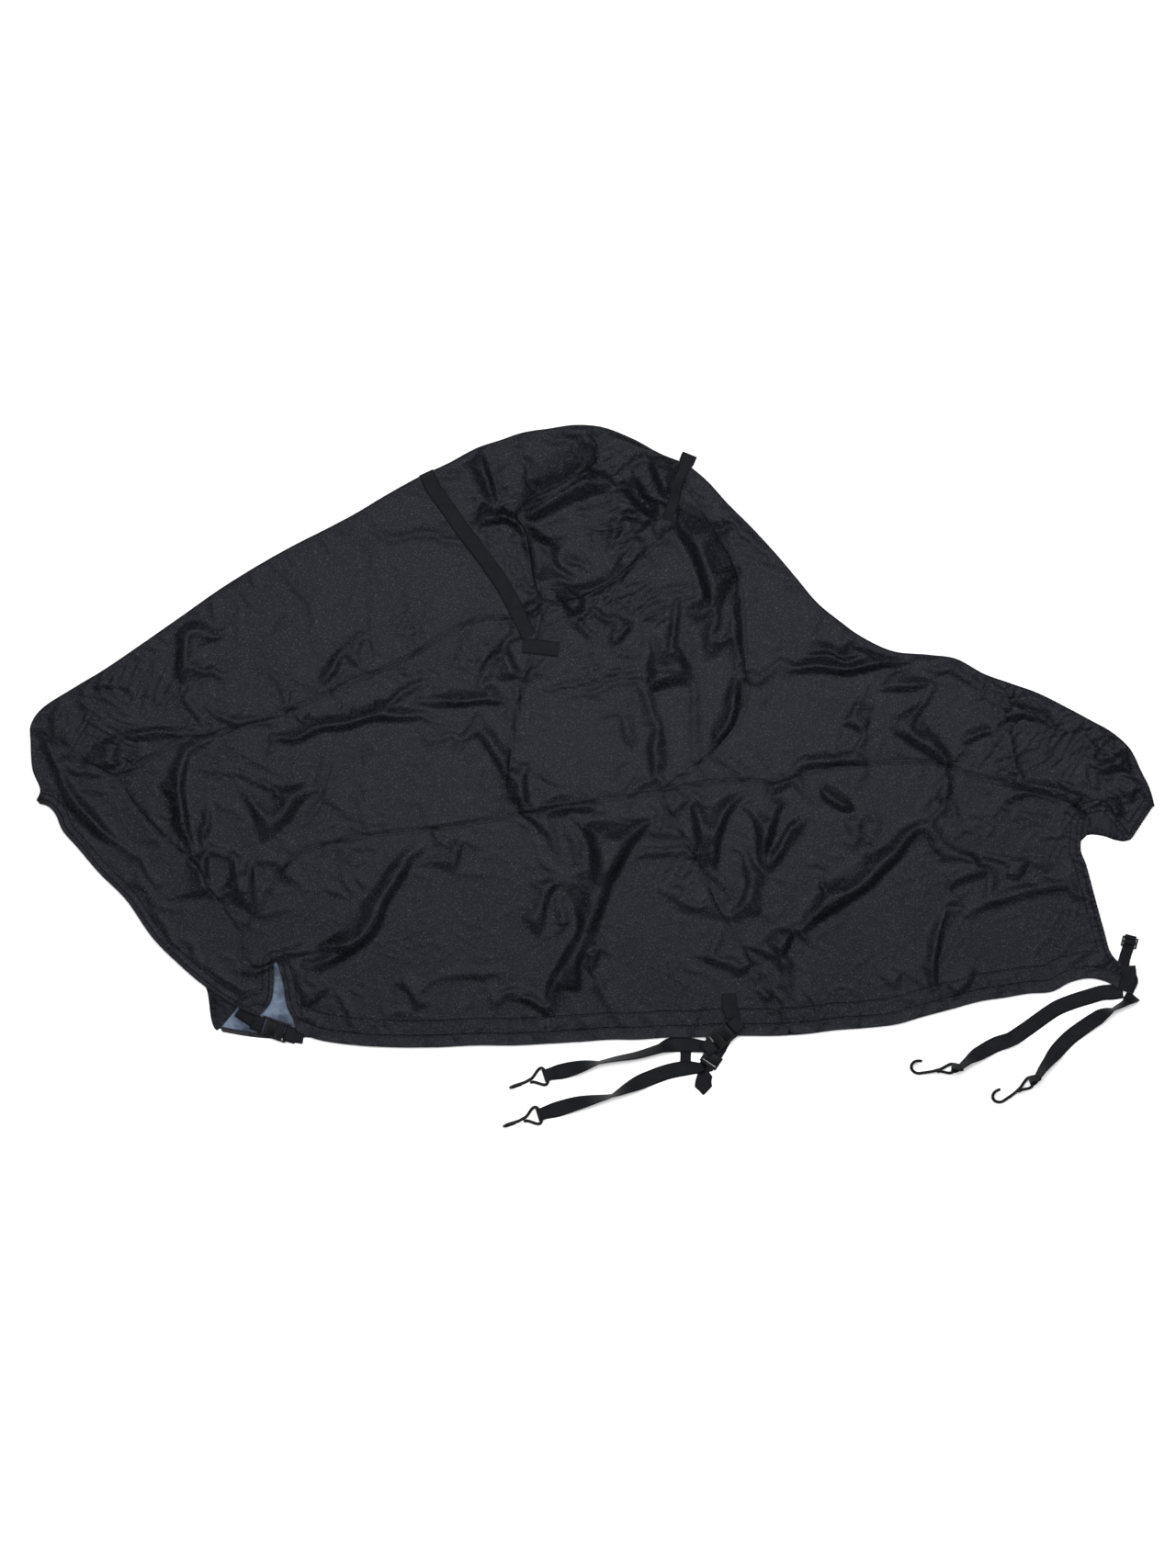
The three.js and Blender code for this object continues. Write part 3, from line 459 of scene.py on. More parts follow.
ridge_line = smooth(RIDGE, 4)
ridge_way = np.gradient(ridge_line, axis=0)
ridge_way /= np.linalg.norm(ridge_way, axis=1)[:, None]
outward = np.column_stack([-ridge_way[:, 1], ridge_way[:, 0]])
inset = ridge_line - FOLD_RADIUS * outward
nose_hem = smooth(NOSE_HEM)
near_hem = smooth([NOSE_HEM[-1]] + NEAR_HEM)
far_hem_rest = [(x, y + FAR_HEM_HIGHER) for x, y in NEAR_HEM if x > FAR_HEM_FROM]
far_hem = join(smooth(FAR_CORNER[:3]), smooth(FAR_CORNER[2:] + far_hem_rest))
print("ridge and hem, m:", *(round(run_along(line)[-1] * MM, 2) for line in (ridge_line, near_hem)))

# %% [markdown]
# ## The seams
#
# The panels meet along these seams: round the nose, over the hood, round the windshield, down the seat and
# along the belt, which parts the skirt from the rest. On the real cover a seam shows as a thin dark groove
# with small puckers across it, because the thread draws the cloth in.

# %% Seam lines
SEAMS = {
    "nose_inner": [(-1461, 112), (-1430, 113), (-1330, 43), (-1241, -10), (-1181, -89), (-1104, -173),
                   (-1032, -235), (-977, -326), (-917, -418)],
    "hood_edge": [(-1241, -10), (-1130, 60), (-1049, 98), (-982, 108), (-871, 142), (-792, 170), (-703, 211),
                  (-562, 271), (-444, 329), (-386, 367), (-290, 410), (-182, 413), (-122, 446)],
    "cowl_lower": [(-122, 446), (-34, 461), (77, 528), (158, 595), (218, 653), (233, 730), (237, 770),
                   (241, 811)],
    "cowl_front": [(-122, 446), (-149, 497), (-175, 643), (-197, 689), (-82, 758), (-8, 797), (12, 820),
                   (12, 845), (-4, 890), (-6, 908)],
    "side_join": [(-240, -113), (-221, -10), (-204, 122), (-178, 233), (-151, 329), (-134, 370), (-122, 446)],
    "seat_front": [(173, -46), (194, -31), (283, 34), (365, 115), (403, 190), (401, 305), (394, 422),
                   (382, 514), (362, 574), (322, 634), (278, 718), (237, 770)],
    "belt_front": [(-917, -418), (-864, -341), (-802, -242), (-758, -202), (-674, -173), (-583, -156),
                   (-466, -146), (-346, -130), (-240, -113)],
    "belt_middle": [(-240, -113), (-58, -74), (173, -46)],
    "belt_rear": [(173, -46), (278, -22), (374, -14), (473, -17), (547, 2), (638, 19), (840, 36), (917, 29),
                  (977, 7), (1090, -26), (1190, -53), (1260, -80), (1300, -110)],
    "skirt_join": [(519, -678), (485, -595), (456, -545), (341, -370), (262, -199), (173, -46)],
    "near_corner": [(-917, -418), (-917, -480), (-905, -486), (-874, -502), (-829, -488)],
    "far_corner": [(-917, -418), (-917, -480), (-905, -486), (-912, -560), (-922, -600), (-970, -661)],
}
seam_lines = {name: smooth(points) for name, points in SEAMS.items()}
SLIT_LEFT = [(-829, -488), (-835, -585), (-850, -610), (-871, -629)]
SLIT_RIGHT = [(-821, -486), (-805, -545), (-795, -605), (-780, -635), (-769, -669)]
NOTCH = [(1412, -571), (1425, -535), (1410, -505), (1385, -495), (1355, -465), (1335, -400), (1310, -310),
         (1290, -235), (1275, -195), (1276, -165)]
RAISED = [(1276, -165), (1281, -122), (1295, -100)]
TAIL_EDGE = [(1295, -100), (1315, -93), (1336, -93), (1362, -123), (1386, -152), (1400, -170), (1436, -122),
             (1465, -80)]
FAR_TAIL_EDGE = [(1293, -157), (1305, -155), (1340, -160), (1370, -170), (1400, -170), (1465, -80)]
slit_left, slit_right = smooth(SLIT_LEFT), smooth(SLIT_RIGHT)
notch, raised, tail_edge, far_tail_edge = (smooth(line) for line in (NOTCH, RAISED, TAIL_EDGE, FAR_TAIL_EDGE))
print("seams:", ", ".join(seam_lines))

# %% [markdown]
# ## The folds
#
# Empty cloth keeps the folds it was packed with and the slack of the shaped panels. Sculpting them one by
# one in code keeps them where the photograph shows them. Each row is a kind, a height, a half width and a
# route, all measured on the plan. A swelling is a low broad hill: its middle, its reach and its height. The
# kinds:
#
# - a ridge stands up and a valley sinks,
# - a slope falls from the left of its route to the right,
# - a cliff does so sharply, with a rounded crest,
# - a crease is a thin sharp line.

# %% The fold list
FOLDS = [
    ("cliff", 15, 60, [(-1050, 426), (-1053, 330), (-1070, 218)]),
    ("slope", 3, 22, [(-1346, 222), (-1242, 218), (-1138, 206)]),
    ("ridge", 4, 14, [(-1242, 99), (-1138, 112), (-1026, 99)]),
    ("slope", 11, 30, [(-1230, 6), (-1230, 106)]),
    ("ridge", 13, 20, [(-1442, 138), (-1386, 10), (-1314, -110), (-1194, -206)]),
    ("valley", 10, 18, [(-1454, 58), (-1406, -54), (-1346, -142), (-1250, -186)]),
    ("slope", 7, 22, [(-1410, 90), (-1362, 10), (-1250, -6)]),
    ("crease", 4, 9, [(-1194, -210), (-1146, -294), (-1062, -352)]),
    ("crease", 4, 10, [(-1098, -410), (-1038, -474)]),
    ("crease", 4, 10, [(-1050, -486), (-962, -542)]),
    ("crease", 3, 8, [(-1186, -70), (-1146, -134), (-1098, -186)]),
    ("slope", 12, 17, [(-1035, -206), (-1053, -118), (-1062, -6), (-1042, 90)]),
    ("slope", 7, 16, [(-1018, -186), (-992, -126), (-995, -66)]),
    ("slope", 10, 20, [(-978, -318), (-1000, -254), (-1003, -194)]),
    ("slope", 9, 22, [(-880, -366), (-878, -286), (-890, -222)]),
    ("ridge", 8, 22, [(-938, -186), (-928, -254), (-902, -334)]),
    ("slope", 15, 52, [(-866, -194), (-786, -126), (-726, -22)]),
    ("crease", 4, 9, [(-674, 102), (-696, -14), (-746, -126)]),
    ("cliff", 12, 40, [(-858, 106), (-786, 99), (-714, 128), (-634, 139), (-570, 158), (-490, 154),
                       (-418, 146)]),
    ("crease", 5, 9, [(-638, 210), (-630, 138)]),
    ("slope", 5, 14, [(-714, 222), (-666, 274), (-646, 334)]),
    ("slope", 4, 16, [(-598, 274), (-602, 330), (-578, 366)]),
    ("crease", 4, 8, [(-766, 270), (-794, 218), (-790, 178)]),
    ("crease", 3, 7, [(-762, 434), (-874, 282)]),
    ("crease", 5, 10, [(-1074, 194), (-1018, 114)]),
    ("crease", 4, 9, [(-1042, 210), (-986, 142), (-938, 130)]),
    ("crease", 4, 9, [(-1034, 258), (-1070, 218)]),
    ("crease", 3, 7, [(-1034, 338), (-986, 326)]),
    ("crease", 4, 9, [(-586, 82), (-579, 34)]),
    ("crease", 3, 7, [(-602, -30), (-595, -94)]),
    ("slope", 8, 34, [(-626, -342), (-630, -230), (-594, -170)]),
    ("slope", 5, 40, [(-818, -294), (-714, -222), (-610, -174)]),
    ("slope", 22, 36, [(-749, -532), (-632, -469), (-578, -434), (-529, -335), (-484, -254), (-461, -173)]),
    ("valley", 6, 20, [(-772, -479), (-691, -461), (-623, -457)]),
    ("cliff", 6, 24, [(-826, -472), (-727, -454), (-623, -448)]),
    ("crease", 5, 12, [(-610, -475), (-583, -497), (-601, -542), (-617, -574)]),
    ("slope", 5, 24, [(-754, -614), (-709, -583), (-668, -551)]),
    ("slope", 5, 22, [(-529, -542), (-475, -578), (-461, -623)]),
    ("crease", 5, 10, [(-785, -497), (-776, -560)]),
    ("valley", 3, 18, [(-569, -499), (-394, -493), (-187, -496)]),
    ("slope", 5, 16, [(-358, -259), (-340, -164)]),
    ("slope", 12, 26, [(-34, -119), (7, -218), (-2, -295)]),
    ("slope", 10, 26, [(-128, -425), (-124, -353), (-79, -263)]),
    ("slope", 11, 22, [(-52, -335), (-29, -389), (-74, -470), (-119, -551), (-101, -614)]),
    ("ridge", 5, 18, [(-83, -326), (-74, -416)]),
    ("slope", 20, 34, [(-11, -443), (38, -326), (83, -218), (160, -106)]),
    ("slope", 9, 16, [(-29, -574), (-34, -488), (-7, -443)]),
    ("slope", 7, 12, [(2, -520), (20, -452)]),
    ("slope", 7, 44, [(146, -277), (218, -349), (362, -385)]),
    ("slope", 5, 30, [(245, -470), (335, -506), (452, -538)]),
    ("crease", 5, 9, [(-196, -106), (-160, -124), (-137, -155)]),
    ("crease", 5, 9, [(-404, -145), (-380, -173)]),
    ("crease", 5, 9, [(-34, -92), (-47, -119)]),
    ("slope", 5, 14, [(-196, -578), (-151, -605), (-106, -634)]),
    ("ridge", 3, 16, [(-275, -614), (-232, -571), (-155, -551)]),
    ("crease", 4, 8, [(-547, -650), (-536, -670)]),
    ("crease", 4, 8, [(17, -640), (19, -668)]),
    ("crease", 4, 8, [(244, -623), (263, -643)]),
    ("crease", 4, 9, [(-124, -659), (-106, -673)]),
    ("slope", 9, 22, [(254, -61), (283, -205)]),
    ("slope", 13, 20, [(322, -268), (344, -137), (400, -38)]),
    ("slope", 11, 24, [(376, -164), (403, -277), (353, -380)]),
    ("slope", 9, 20, [(412, -88), (452, -259)]),
    ("slope", 8, 18, [(443, -232), (475, -137), (517, -38)]),
    ("cliff", 9, 20, [(569, -92), (524, -137), (470, -232), (454, -263)]),
    ("slope", 11, 16, [(488, -484), (514, -443), (529, -403)]),
    ("slope", 8, 24, [(416, -443), (470, -488), (508, -533)]),
    ("crease", 4, 9, [(524, -578), (556, -580), (585, -631)]),
    ("slope", 5, 14, [(457, -596), (479, -574)]),
    ("slope", 10, 14, [(-246, 702), (-286, 858)]),
    ("ridge", 4, 8, [(-230, 702), (-267, 850)]),
    ("slope", 6, 12, [(-208, 666), (-232, 696)]),
    ("slope", 11, 16, [(-312, 646), (-232, 659), (-174, 643)]),
    ("crease", 5, 10, [(-402, 643), (-382, 627), (-342, 632)]),
    ("slope", 24, 52, [(-190, 650), (-90, 694), (-10, 730), (70, 750)]),
    ("crease", 4, 9, [(-210, 678), (-90, 736), (22, 806)]),
    ("slope", 7, 22, [(-170, 638), (-166, 570), (-147, 496)]),
    ("slope", 8, 22, [(-114, 554), (-54, 618)]),
    ("crease", 3, 9, [(-230, 614), (-210, 554), (-192, 498)]),
    ("crease", 5, 10, [(-74, 566), (-34, 542), (6, 512)]),
    ("cliff", 8, 26, [(-122, 446), (-10, 480), (70, 522), (142, 578)]),
    ("slope", 10, 24, [(-56, 410), (-10, 454)]),
    ("crease", 5, 9, [(98, 406), (138, 442), (198, 483)]),
    ("slope", 5, 14, [(54, 330), (114, 398)]),
    ("crease", 4, 8, [(62, 475), (110, 450)]),
    ("crease", 4, 8, [(6, 410), (70, 374)]),
    ("crease", 4, 9, [(-14, 322), (22, 266), (62, 238)]),
    ("valley", 3, 9, [(-162, 214), (-42, 226), (62, 255), (270, 266)]),
    ("slope", 15, 44, [(138, 222), (198, 230), (270, 238)]),
    ("slope", 6, 26, [(70, 170), (78, 106), (118, 58)]),
    ("slope", 7, 18, [(178, 142), (150, 90), (160, -14)]),
    ("crease", 4, 8, [(134, 18), (82, -58)]),
    ("slope", 9, 22, [(-302, 122), (-266, 58), (-226, -2)]),
    ("cliff", 10, 24, [(-418, 182), (-346, 192), (-270, 198), (-210, 187)]),
    ("crease", 4, 8, [(-358, 334), (-314, 286), (-278, 246)]),
    ("crease", 5, 9, [(-338, 370), (-322, 338), (-320, 314)]),
    ("crease", 5, 9, [(-230, 410), (-210, 362)]),
    ("slope", 8, 24, [(-178, 250), (-230, 354)]),
    ("slope", 26, 40, [(215, 680), (252, 590), (292, 500), (322, 418)]),
    ("ridge", 6, 12, [(190, 274), (208, 362), (221, 490), (218, 626), (186, 662)]),
    ("slope", 9, 50, [(230, 474), (270, 394), (298, 290)]),
    ("slope", 15, 22, [(142, 834), (170, 762), (198, 706)]),
    ("ridge", 8, 14, [(98, 806), (130, 730), (186, 662)]),
    ("slope", 12, 20, [(70, 762), (118, 706), (166, 670)]),
    ("slope", 8, 14, [(22, 902), (118, 866), (222, 827)]),
    ("crease", 5, 9, [(-10, 890), (5, 858), (18, 818)]),
    ("crease", 4, 8, [(-26, 866), (-6, 872)]),
    ("slope", 13, 20, [(310, 50), (362, 114), (389, 186), (378, 266)]),
    ("slope", 6, 20, [(398, 274), (384, 378), (382, 498)]),
    ("crease", 4, 8, [(430, 194), (462, 258)]),
    ("slope", 7, 18, [(-174, -94), (-166, 10), (-150, 26)]),
    ("crease", 4, 8, [(-186, 38), (-154, 26), (-106, -62)]),
    ("crease", 4, 8, [(-210, 474), (-138, 470), (-50, 490)]),
    ("slope", 6, 16, [(-186, 418), (-138, 410)]),
    ("crease", 3, 8, [(22, 738), (54, 730)]),
    ("slope", 8, 18, [(62, 682), (118, 666), (182, 666)]),
    ("crease", 4, 8, [(190, 706), (214, 778), (234, 798)]),
    ("crease", 3, 8, [(-58, 658), (-10, 626), (70, 618)]),
    ("slope", 7, 16, [(102, 626), (158, 662)]),
    ("slope", 6, 18, [(-130, -106), (-42, -94), (22, -85)]),
    ("crease", 4, 8, [(342, 46), (382, 26), (430, -2)]),
    ("slope", 5, 12, [(462, -58), (502, -22)]),
    ("slope", 9, 24, [(614, 434), (654, 386), (702, 358)]),
    ("cliff", 6, 16, [(538, 318), (614, 328), (654, 310), (718, 318)]),
    ("slope", 12, 18, [(494, 274), (574, 269), (654, 266), (734, 275), (822, 298)]),
    ("crease", 4, 8, [(706, 234), (790, 270), (858, 306)]),
    ("slope", 5, 14, [(726, 219), (822, 224), (894, 240)]),
    ("crease", 3, 8, [(782, 146), (846, 186)]),
    ("crease", 3, 8, [(726, 114), (766, 126)]),
    ("crease", 3, 8, [(862, 126), (926, 154)]),
    ("slope", 5, 12, [(958, 74), (1054, 120)]),
    ("slope", 6, 16, [(1054, 118), (1070, 138), (1142, 150), (1214, 114)]),
    ("crease", 3, 8, [(1086, 194), (1142, 206)]),
    ("crease", 3, 8, [(1246, 106), (1294, 122)]),
    ("slope", 11, 34, [(758, 130), (822, 90), (934, 26)]),
    ("slope", 6, 26, [(650, 138), (718, 106)]),
    ("slope", 7, 22, [(518, 8), (614, 26), (726, 35)]),
    ("cliff", 10, 18, [(602, -10), (608, -46), (650, -78), (698, -90)]),
    ("slope", 6, 12, [(480, -56), (526, -10)]),
    ("ridge", 3, 9, [(1090, 102), (1098, 58), (1112, -2)]),
    ("crease", 3, 8, [(1038, 82), (1070, 62), (1086, 54)]),
    ("slope", 6, 24, [(1062, -72), (1166, -59), (1254, -75)]),
    ("crease", 3, 9, [(1014, -10), (1134, -38), (1278, -70)]),
    ("slope", 22, 34, [(538, -416), (654, -342), (774, -253), (838, -166), (870, -110)]),
    ("slope", 6, 26, [(694, -214), (709, -94)]),
    ("slope", 9, 14, [(896, -570), (909, -454), (926, -346)]),
    ("slope", 8, 18, [(926, -314), (950, -290), (1038, -254)]),
    ("slope", 7, 26, [(966, -366), (1094, -334), (1270, -286)]),
    ("crease", 5, 10, [(918, -342), (962, -350)]),
    ("slope", 5, 16, [(1006, -238), (1014, -206)]),
    ("slope", 5, 20, [(1110, -290), (1142, -214)]),
    ("crease", 4, 9, [(1190, -138), (1258, -144)]),
    ("crease", 5, 10, [(1186, -170), (1262, -162)]),
    ("crease", 4, 9, [(1206, -102), (1254, -107)]),
    ("crease", 4, 9, [(1158, -198), (1214, -224)]),
    ("slope", 4, 12, [(1250, -86), (1286, -54)]),
    ("crease", 5, 10, [(1298, 34), (1302, -30)]),
    ("slope", 7, 16, [(1406, 74), (1350, 40), (1302, 22)]),
    ("crease", 5, 10, [(1314, -2), (1382, 6), (1434, -5)]),
    ("slope", 7, 20, [(1402, -78), (1430, -46), (1458, -82)]),
    ("slope", 5, 14, [(1334, -54), (1366, -118)]),
    ("slope", 5, 18, [(790, -566), (818, -510)]),
    ("crease", 3, 8, [(958, -374), (1014, -392)]),
    ("crease", 4, 9, [(902, -574), (934, -597)]),
    ("crease", 4, 9, [(546, -590), (584, -630)]),
    ("slope", 5, 18, [(934, -598), (970, -566), (1014, -494)]),
    ("slope", 5, 18, [(886, -46), (926, -78)]),
]
SWELLS = [(60, 560, 300, 14), (-650, 250, 330, 5), (-200, -380, 360, 3), (800, 30, 280, 6), (1330, 0, 100, 8)]
print("folds:", len(FOLDS))

# %% [markdown]
# ## Slack and wrinkles
#
# Between the folds the cloth isn't flat either. Smooth noise at a few sizes gives the long slack waves and
# the small crumples. The noise is worked out from a fixed seed, so that each run gives the same cloth.


# %% Smooth noise
NOISE_CELLS, NOISE_START = 128, 1000
BEND_SHARE, BEND_SIZE, WRINKLE_POWER = 0.35, 1.7, 0.8


def gradient_noise(x, y, size, seed):
    """Smooth hills and hollows from -1 to 1, about `size` mm apart"""
    turn = np.random.default_rng(seed).uniform(0, 2 * math.pi, (NOISE_CELLS, NOISE_CELLS))
    gx, gy = x / size + NOISE_START, y / size + NOISE_START
    i, j = np.floor(gx).astype(int), np.floor(gy).astype(int)
    fx, fy = gx - i, gy - j

    def corner(di, dj):
        angle = turn[(i + di) % NOISE_CELLS, (j + dj) % NOISE_CELLS]
        return np.cos(angle) * (fx - di) + np.sin(angle) * (fy - dj)

    sx, sy = (f ** 3 * (f * (6 * f - 15) + 10) for f in (fx, fy))
    low = corner(0, 0) * (1 - sx) + corner(1, 0) * sx
    high = corner(0, 1) * (1 - sx) + corner(1, 1) * sx
    return 1.5 * (low * (1 - sy) + high * sy)


def crumple(x, y, size, seed):
    """Sharp-edged small wrinkles: thin ridges between rounded hollows"""
    bend, wide = BEND_SHARE * size, BEND_SIZE * size
    x, y = (x + bend * gradient_noise(x, y, wide, seed + 1), y + bend * gradient_noise(x, y, wide, seed + 2))
    return 1 - 2 * np.abs(gradient_noise(x, y, size, seed)) ** WRINKLE_POWER


two_places = np.array([0.0, -600.0]), np.array([-300.0, 300.0])
print("crumple at two places:", np.round(crumple(*two_places, 70, 5), 2))

# %% Shapes of folds
FOLD_REACH, FOLD_RELIEF, FOLD_TAPER, FOLD_END = 5, 1.15, 0.32, 0.45
SLOPE_HIGH, SLOPE_STEEP, SLOPE_REACH = 1.15, 1.5, 2.6
CLIFF_LEFT, CLIFF_RIGHT, CREASE_FADE, CREST_POWER = 1.7, 0.45, 1.6, 1.6


def fold_shape(kind, s):
    """Height of a fold across its route; s is the distance to the right in half widths"""
    if kind == "slope":
        return -SLOPE_HIGH * np.tanh(SLOPE_STEEP * s) * np.exp(-(s / SLOPE_REACH) ** 2)
    if kind == "cliff":
        return np.where(s < 0, np.exp(-((s / CLIFF_LEFT) ** 2)), np.exp(-((s / CLIFF_RIGHT) ** 2)))
    if kind == "crease":
        return -np.exp(-CREASE_FADE * np.abs(s))
    return (1 if kind == "ridge" else -1) * np.exp(-np.abs(s) ** CREST_POWER)


print("across a slope:", np.round(fold_shape("slope", np.arange(-2.0, 3)), 2))

# %% Height of the near side, folds first
LOFT, MAX_RISE, FLOOR_ROOM, TOP_ROOM = 4.0, 44, 3.0, 9.0
RIDGE_EASE, RIDGE_RISE, HEM_EASE, HEM_RISE = 40, 0.45, 50, 0.35
WOBBLES = [(5, 90), (1.0, 28)]
SLACK_WAVES = [(3.0, 240, 3), (1.6, 95, 4)]
CRUMPLE_HIGH, CRUMPLE_SIZE, FINE_HIGH, FINE_SIZE = 0.8, 70, 0.3, 32


def soft_floor(rise):
    """Keeps cloth from sinking through the layer below, without a kink"""
    return FLOOR_ROOM * np.logaddexp(0, rise / FLOOR_ROOM)


def soft_top(rise):
    over = np.maximum(rise - (MAX_RISE - TOP_ROOM), 0)
    return np.minimum(rise, MAX_RISE - TOP_ROOM) + TOP_ROOM * (1 - np.exp(-over / TOP_ROOM))


def slack_height(x, y):
    """Folds, swellings and slack of the near side over its rest height, in mm"""
    wx, wy = x, y
    for number, (sway, size) in enumerate(WOBBLES):
        wx = wx + sway * gradient_noise(x, y, size, 11 + number)
        wy = wy + sway * gradient_noise(x, y, size, 13 + number)
    rise = np.full(x.shape, LOFT)
    for cx, cy, width, height in SWELLS:
        rise += height * np.exp(-((x - cx) ** 2 + (y - cy) ** 2) / width ** 2)
    for kind, height, width, route in FOLDS:
        away, side, run, whole = off_line(wx, wy, smooth(route, 10), FOLD_REACH * width)
        hit = away < FOLD_REACH * width
        share = run[hit] / whole
        taper = ease(share / FOLD_TAPER) * ease((1 - share) / FOLD_TAPER)
        s = away[hit] * side[hit] / (width * (FOLD_END + (1 - FOLD_END) * taper))
        rise[hit] += FOLD_RELIEF * height * taper * fold_shape(kind, s)
    rise += sum(high * gradient_noise(x, y, size, seed) for high, size, seed in SLACK_WAVES)
    rise += CRUMPLE_HIGH * crumple(x, y, CRUMPLE_SIZE, 5) + FINE_HIGH * gradient_noise(x, y, FINE_SIZE, 6)
    off_ridge = off_line(x, y, ridge_line)[0]
    off_hem = np.minimum(off_line(x, y, near_hem)[0], off_line(x, y, nose_hem)[0])
    rise = soft_top(soft_floor(rise)) * (RIDGE_RISE + (1 - RIDGE_RISE) * ease(off_ridge / RIDGE_EASE))
    return rise * (HEM_RISE + (1 - HEM_RISE) * ease(off_hem / HEM_EASE))


print("folds at two places, mm:", np.round(slack_height(*two_places), 1))

# %% [markdown]
# ## Puckers, gathers and short wrinkles
#
# Thread draws cloth in, so a seam lies in a narrow groove and the cloth beside it puckers. Elastic in a
# casing gathers the edges at the nose and the tail. Cloth that was packed small also keeps clusters of short
# crisp wrinkles. All three are narrower than the simulation's grid, so they are added to the panels after it.

# %% Puckers at the seams, gathers at the elastic
SEAM_REACH, GATHER_REACH = 60, 70
PUCKER_PITCH, PUCKER_HIGH, PUCKER_FADE = 26, 2.2, 22
SEAM_DEEP, SEAM_HALF, DIP_DEEP, DIP_HALF = 3.4, 3.2, 0.6, 14
BINDING, BINDING_AT, BINDING_HALF = 2.4, 3, 4
GATHER_EVEN, GATHER_PATCH, GATHER_FADE = 0.6, 60, 1.6
GATHERS = [("notch", 4.0, 13), ("tail_edge", 3.0, 13), ("raised", 4.0, 11), ("nose_hem", 1.6, 24),
           ("near_hem", 1.0, 34)]
gather_lines = {"notch": notch, "tail_edge": tail_edge, "raised": raised, "nose_hem": nose_hem,
                "near_hem": near_hem}
near_seams = [line for name, line in seam_lines.items() if name != "far_corner"]


def sewn_height(x, y):
    """What the thread and the elastic do to the cloth close to them, in mm"""
    rise = np.zeros(x.shape)
    for number, line in enumerate(near_seams):
        away, _, run, _ = off_line(x, y, line, SEAM_REACH)
        hit = away < SEAM_REACH
        a, r = away[hit], run[hit]
        pucker = PUCKER_HIGH * gradient_noise(r, np.full(r.shape, 40.0 * number), PUCKER_PITCH, 7)
        rise[hit] += (pucker * np.exp(-a / PUCKER_FADE) - SEAM_DEEP * np.exp(-(a / SEAM_HALF) ** 2)
                      - DIP_DEEP * np.exp(-(a / DIP_HALF) ** 2))
    for name, depth, pitch in GATHERS:
        away, _, run, _ = off_line(x, y, gather_lines[name], GATHER_REACH)
        hit = away < GATHER_REACH
        a, r = away[hit], run[hit]
        wander = r + 0.5 * pitch * gradient_noise(r, a, 3 * pitch, 9)
        waves = 0.5 + 0.5 * np.sin(2 * math.pi * wander / pitch)
        gather = waves * (GATHER_EVEN + (1 - GATHER_EVEN) * gradient_noise(r, a, GATHER_PATCH, 10))
        rise[hit] += depth * gather * np.exp(-a / (GATHER_FADE * pitch))
        if name == "nose_hem":
            rise[hit] += BINDING * np.exp(-((a - BINDING_AT) / BINDING_HALF) ** 2)
    return rise


print("seams that pucker:", len(near_seams), "and gathered edges:", len(GATHERS))

# %% Short crisp wrinkles, in clusters
CLUSTERS = [(-1220, 60, 320, 1.0), (40, 600, 330, 1.0), (1180, 60, 340, 1.0), (-380, 330, 260, 0.7),
            (-760, -250, 260, 0.7), (900, -330, 320, 0.3), (250, -250, 260, 0.5)]
WRINKLE_WIDE, WRINKLE_LONG, WRINKLE_HIGH, WRINKLE_TURNS = 24, 4.6, 2.8, (25, 62, -24)
WRINKLE_LEAST, WRINKLE_PATCH, WRINKLE_HOLLOW = 0.15, 170, -0.3
WRINKLE_BIAS, WRINKLE_SPREAD, WRINKLE_STEEP, WRINKLE_CREST = 0.05, 0.4, 2.2, 0.75


def wrinkle_height(x, y):
    """Packed cloth keeps short sharp creases that run a few ways and die out"""
    strength = np.full(x.shape, WRINKLE_LEAST)
    for cx, cy, reach, more in CLUSTERS:
        strength = np.maximum(strength, more * np.exp(-((x - cx) ** 2 + (y - cy) ** 2) / reach ** 2))
    rise = np.zeros(x.shape)
    for number, turn in enumerate(WRINKLE_TURNS):
        c, s = math.cos(math.radians(turn)), math.sin(math.radians(turn))
        along, across = x * c + y * s, y * c - x * s
        here = ease((gradient_noise(x, y, WRINKLE_PATCH, 40 + number) + WRINKLE_BIAS) / WRINKLE_SPREAD)
        bands = gradient_noise(along / WRINKLE_LONG, across, WRINKLE_WIDE, 50 + number)
        rise += here * np.maximum(1 - WRINKLE_STEEP * np.abs(bands) ** WRINKLE_CREST, WRINKLE_HOLLOW)
    return WRINKLE_HIGH * strength * rise


print("wrinkles at two places, mm:", np.round(wrinkle_height(*two_places), 1))

# %% [markdown]
# ## Letting the cloth settle
#
# Folds placed one by one look pressed in until the cloth is let go. So the near side is laid out as one even
# grid with those folds, a hair too large for its outline, as empty cloth is. Its border is held, the layer
# below is a floor, and Blender's cloth simulation lets it relax for a few moments. Folds turn crisp, run
# into each other and throw small buckles, as coated cloth does. The panels are then cut from the settled
# sheet.

# %% An even grid over the near side
SETTLE_STEP, SETTLE_FRAMES = 8.0, 10
SETTLE_GROWTH, SETTLE_BENDING, SETTLE_GRAVITY = 0.003, 8, 0.1
SETTLE_TENSION, SETTLE_MASS, SETTLE_DAMPING = 20, 0.2, 5
SETTLE_LIFT, SETTLE_FLOOR, SETTLE_TOUCH = 2.0, 0.5, 0.001
SHARPEN, SHARPEN_PASSES, SHARPEN_LEAST = 0.8, 3, 0.3
GRID_LOW, GRID_HIGH = (-1480, -720), (1496, 928)
KEPT_STEPS, HELD_STEPS = 1.6, 0.8
UNDER_TAIL = [(1400, -170), (1340, -160), (1300, -155)]


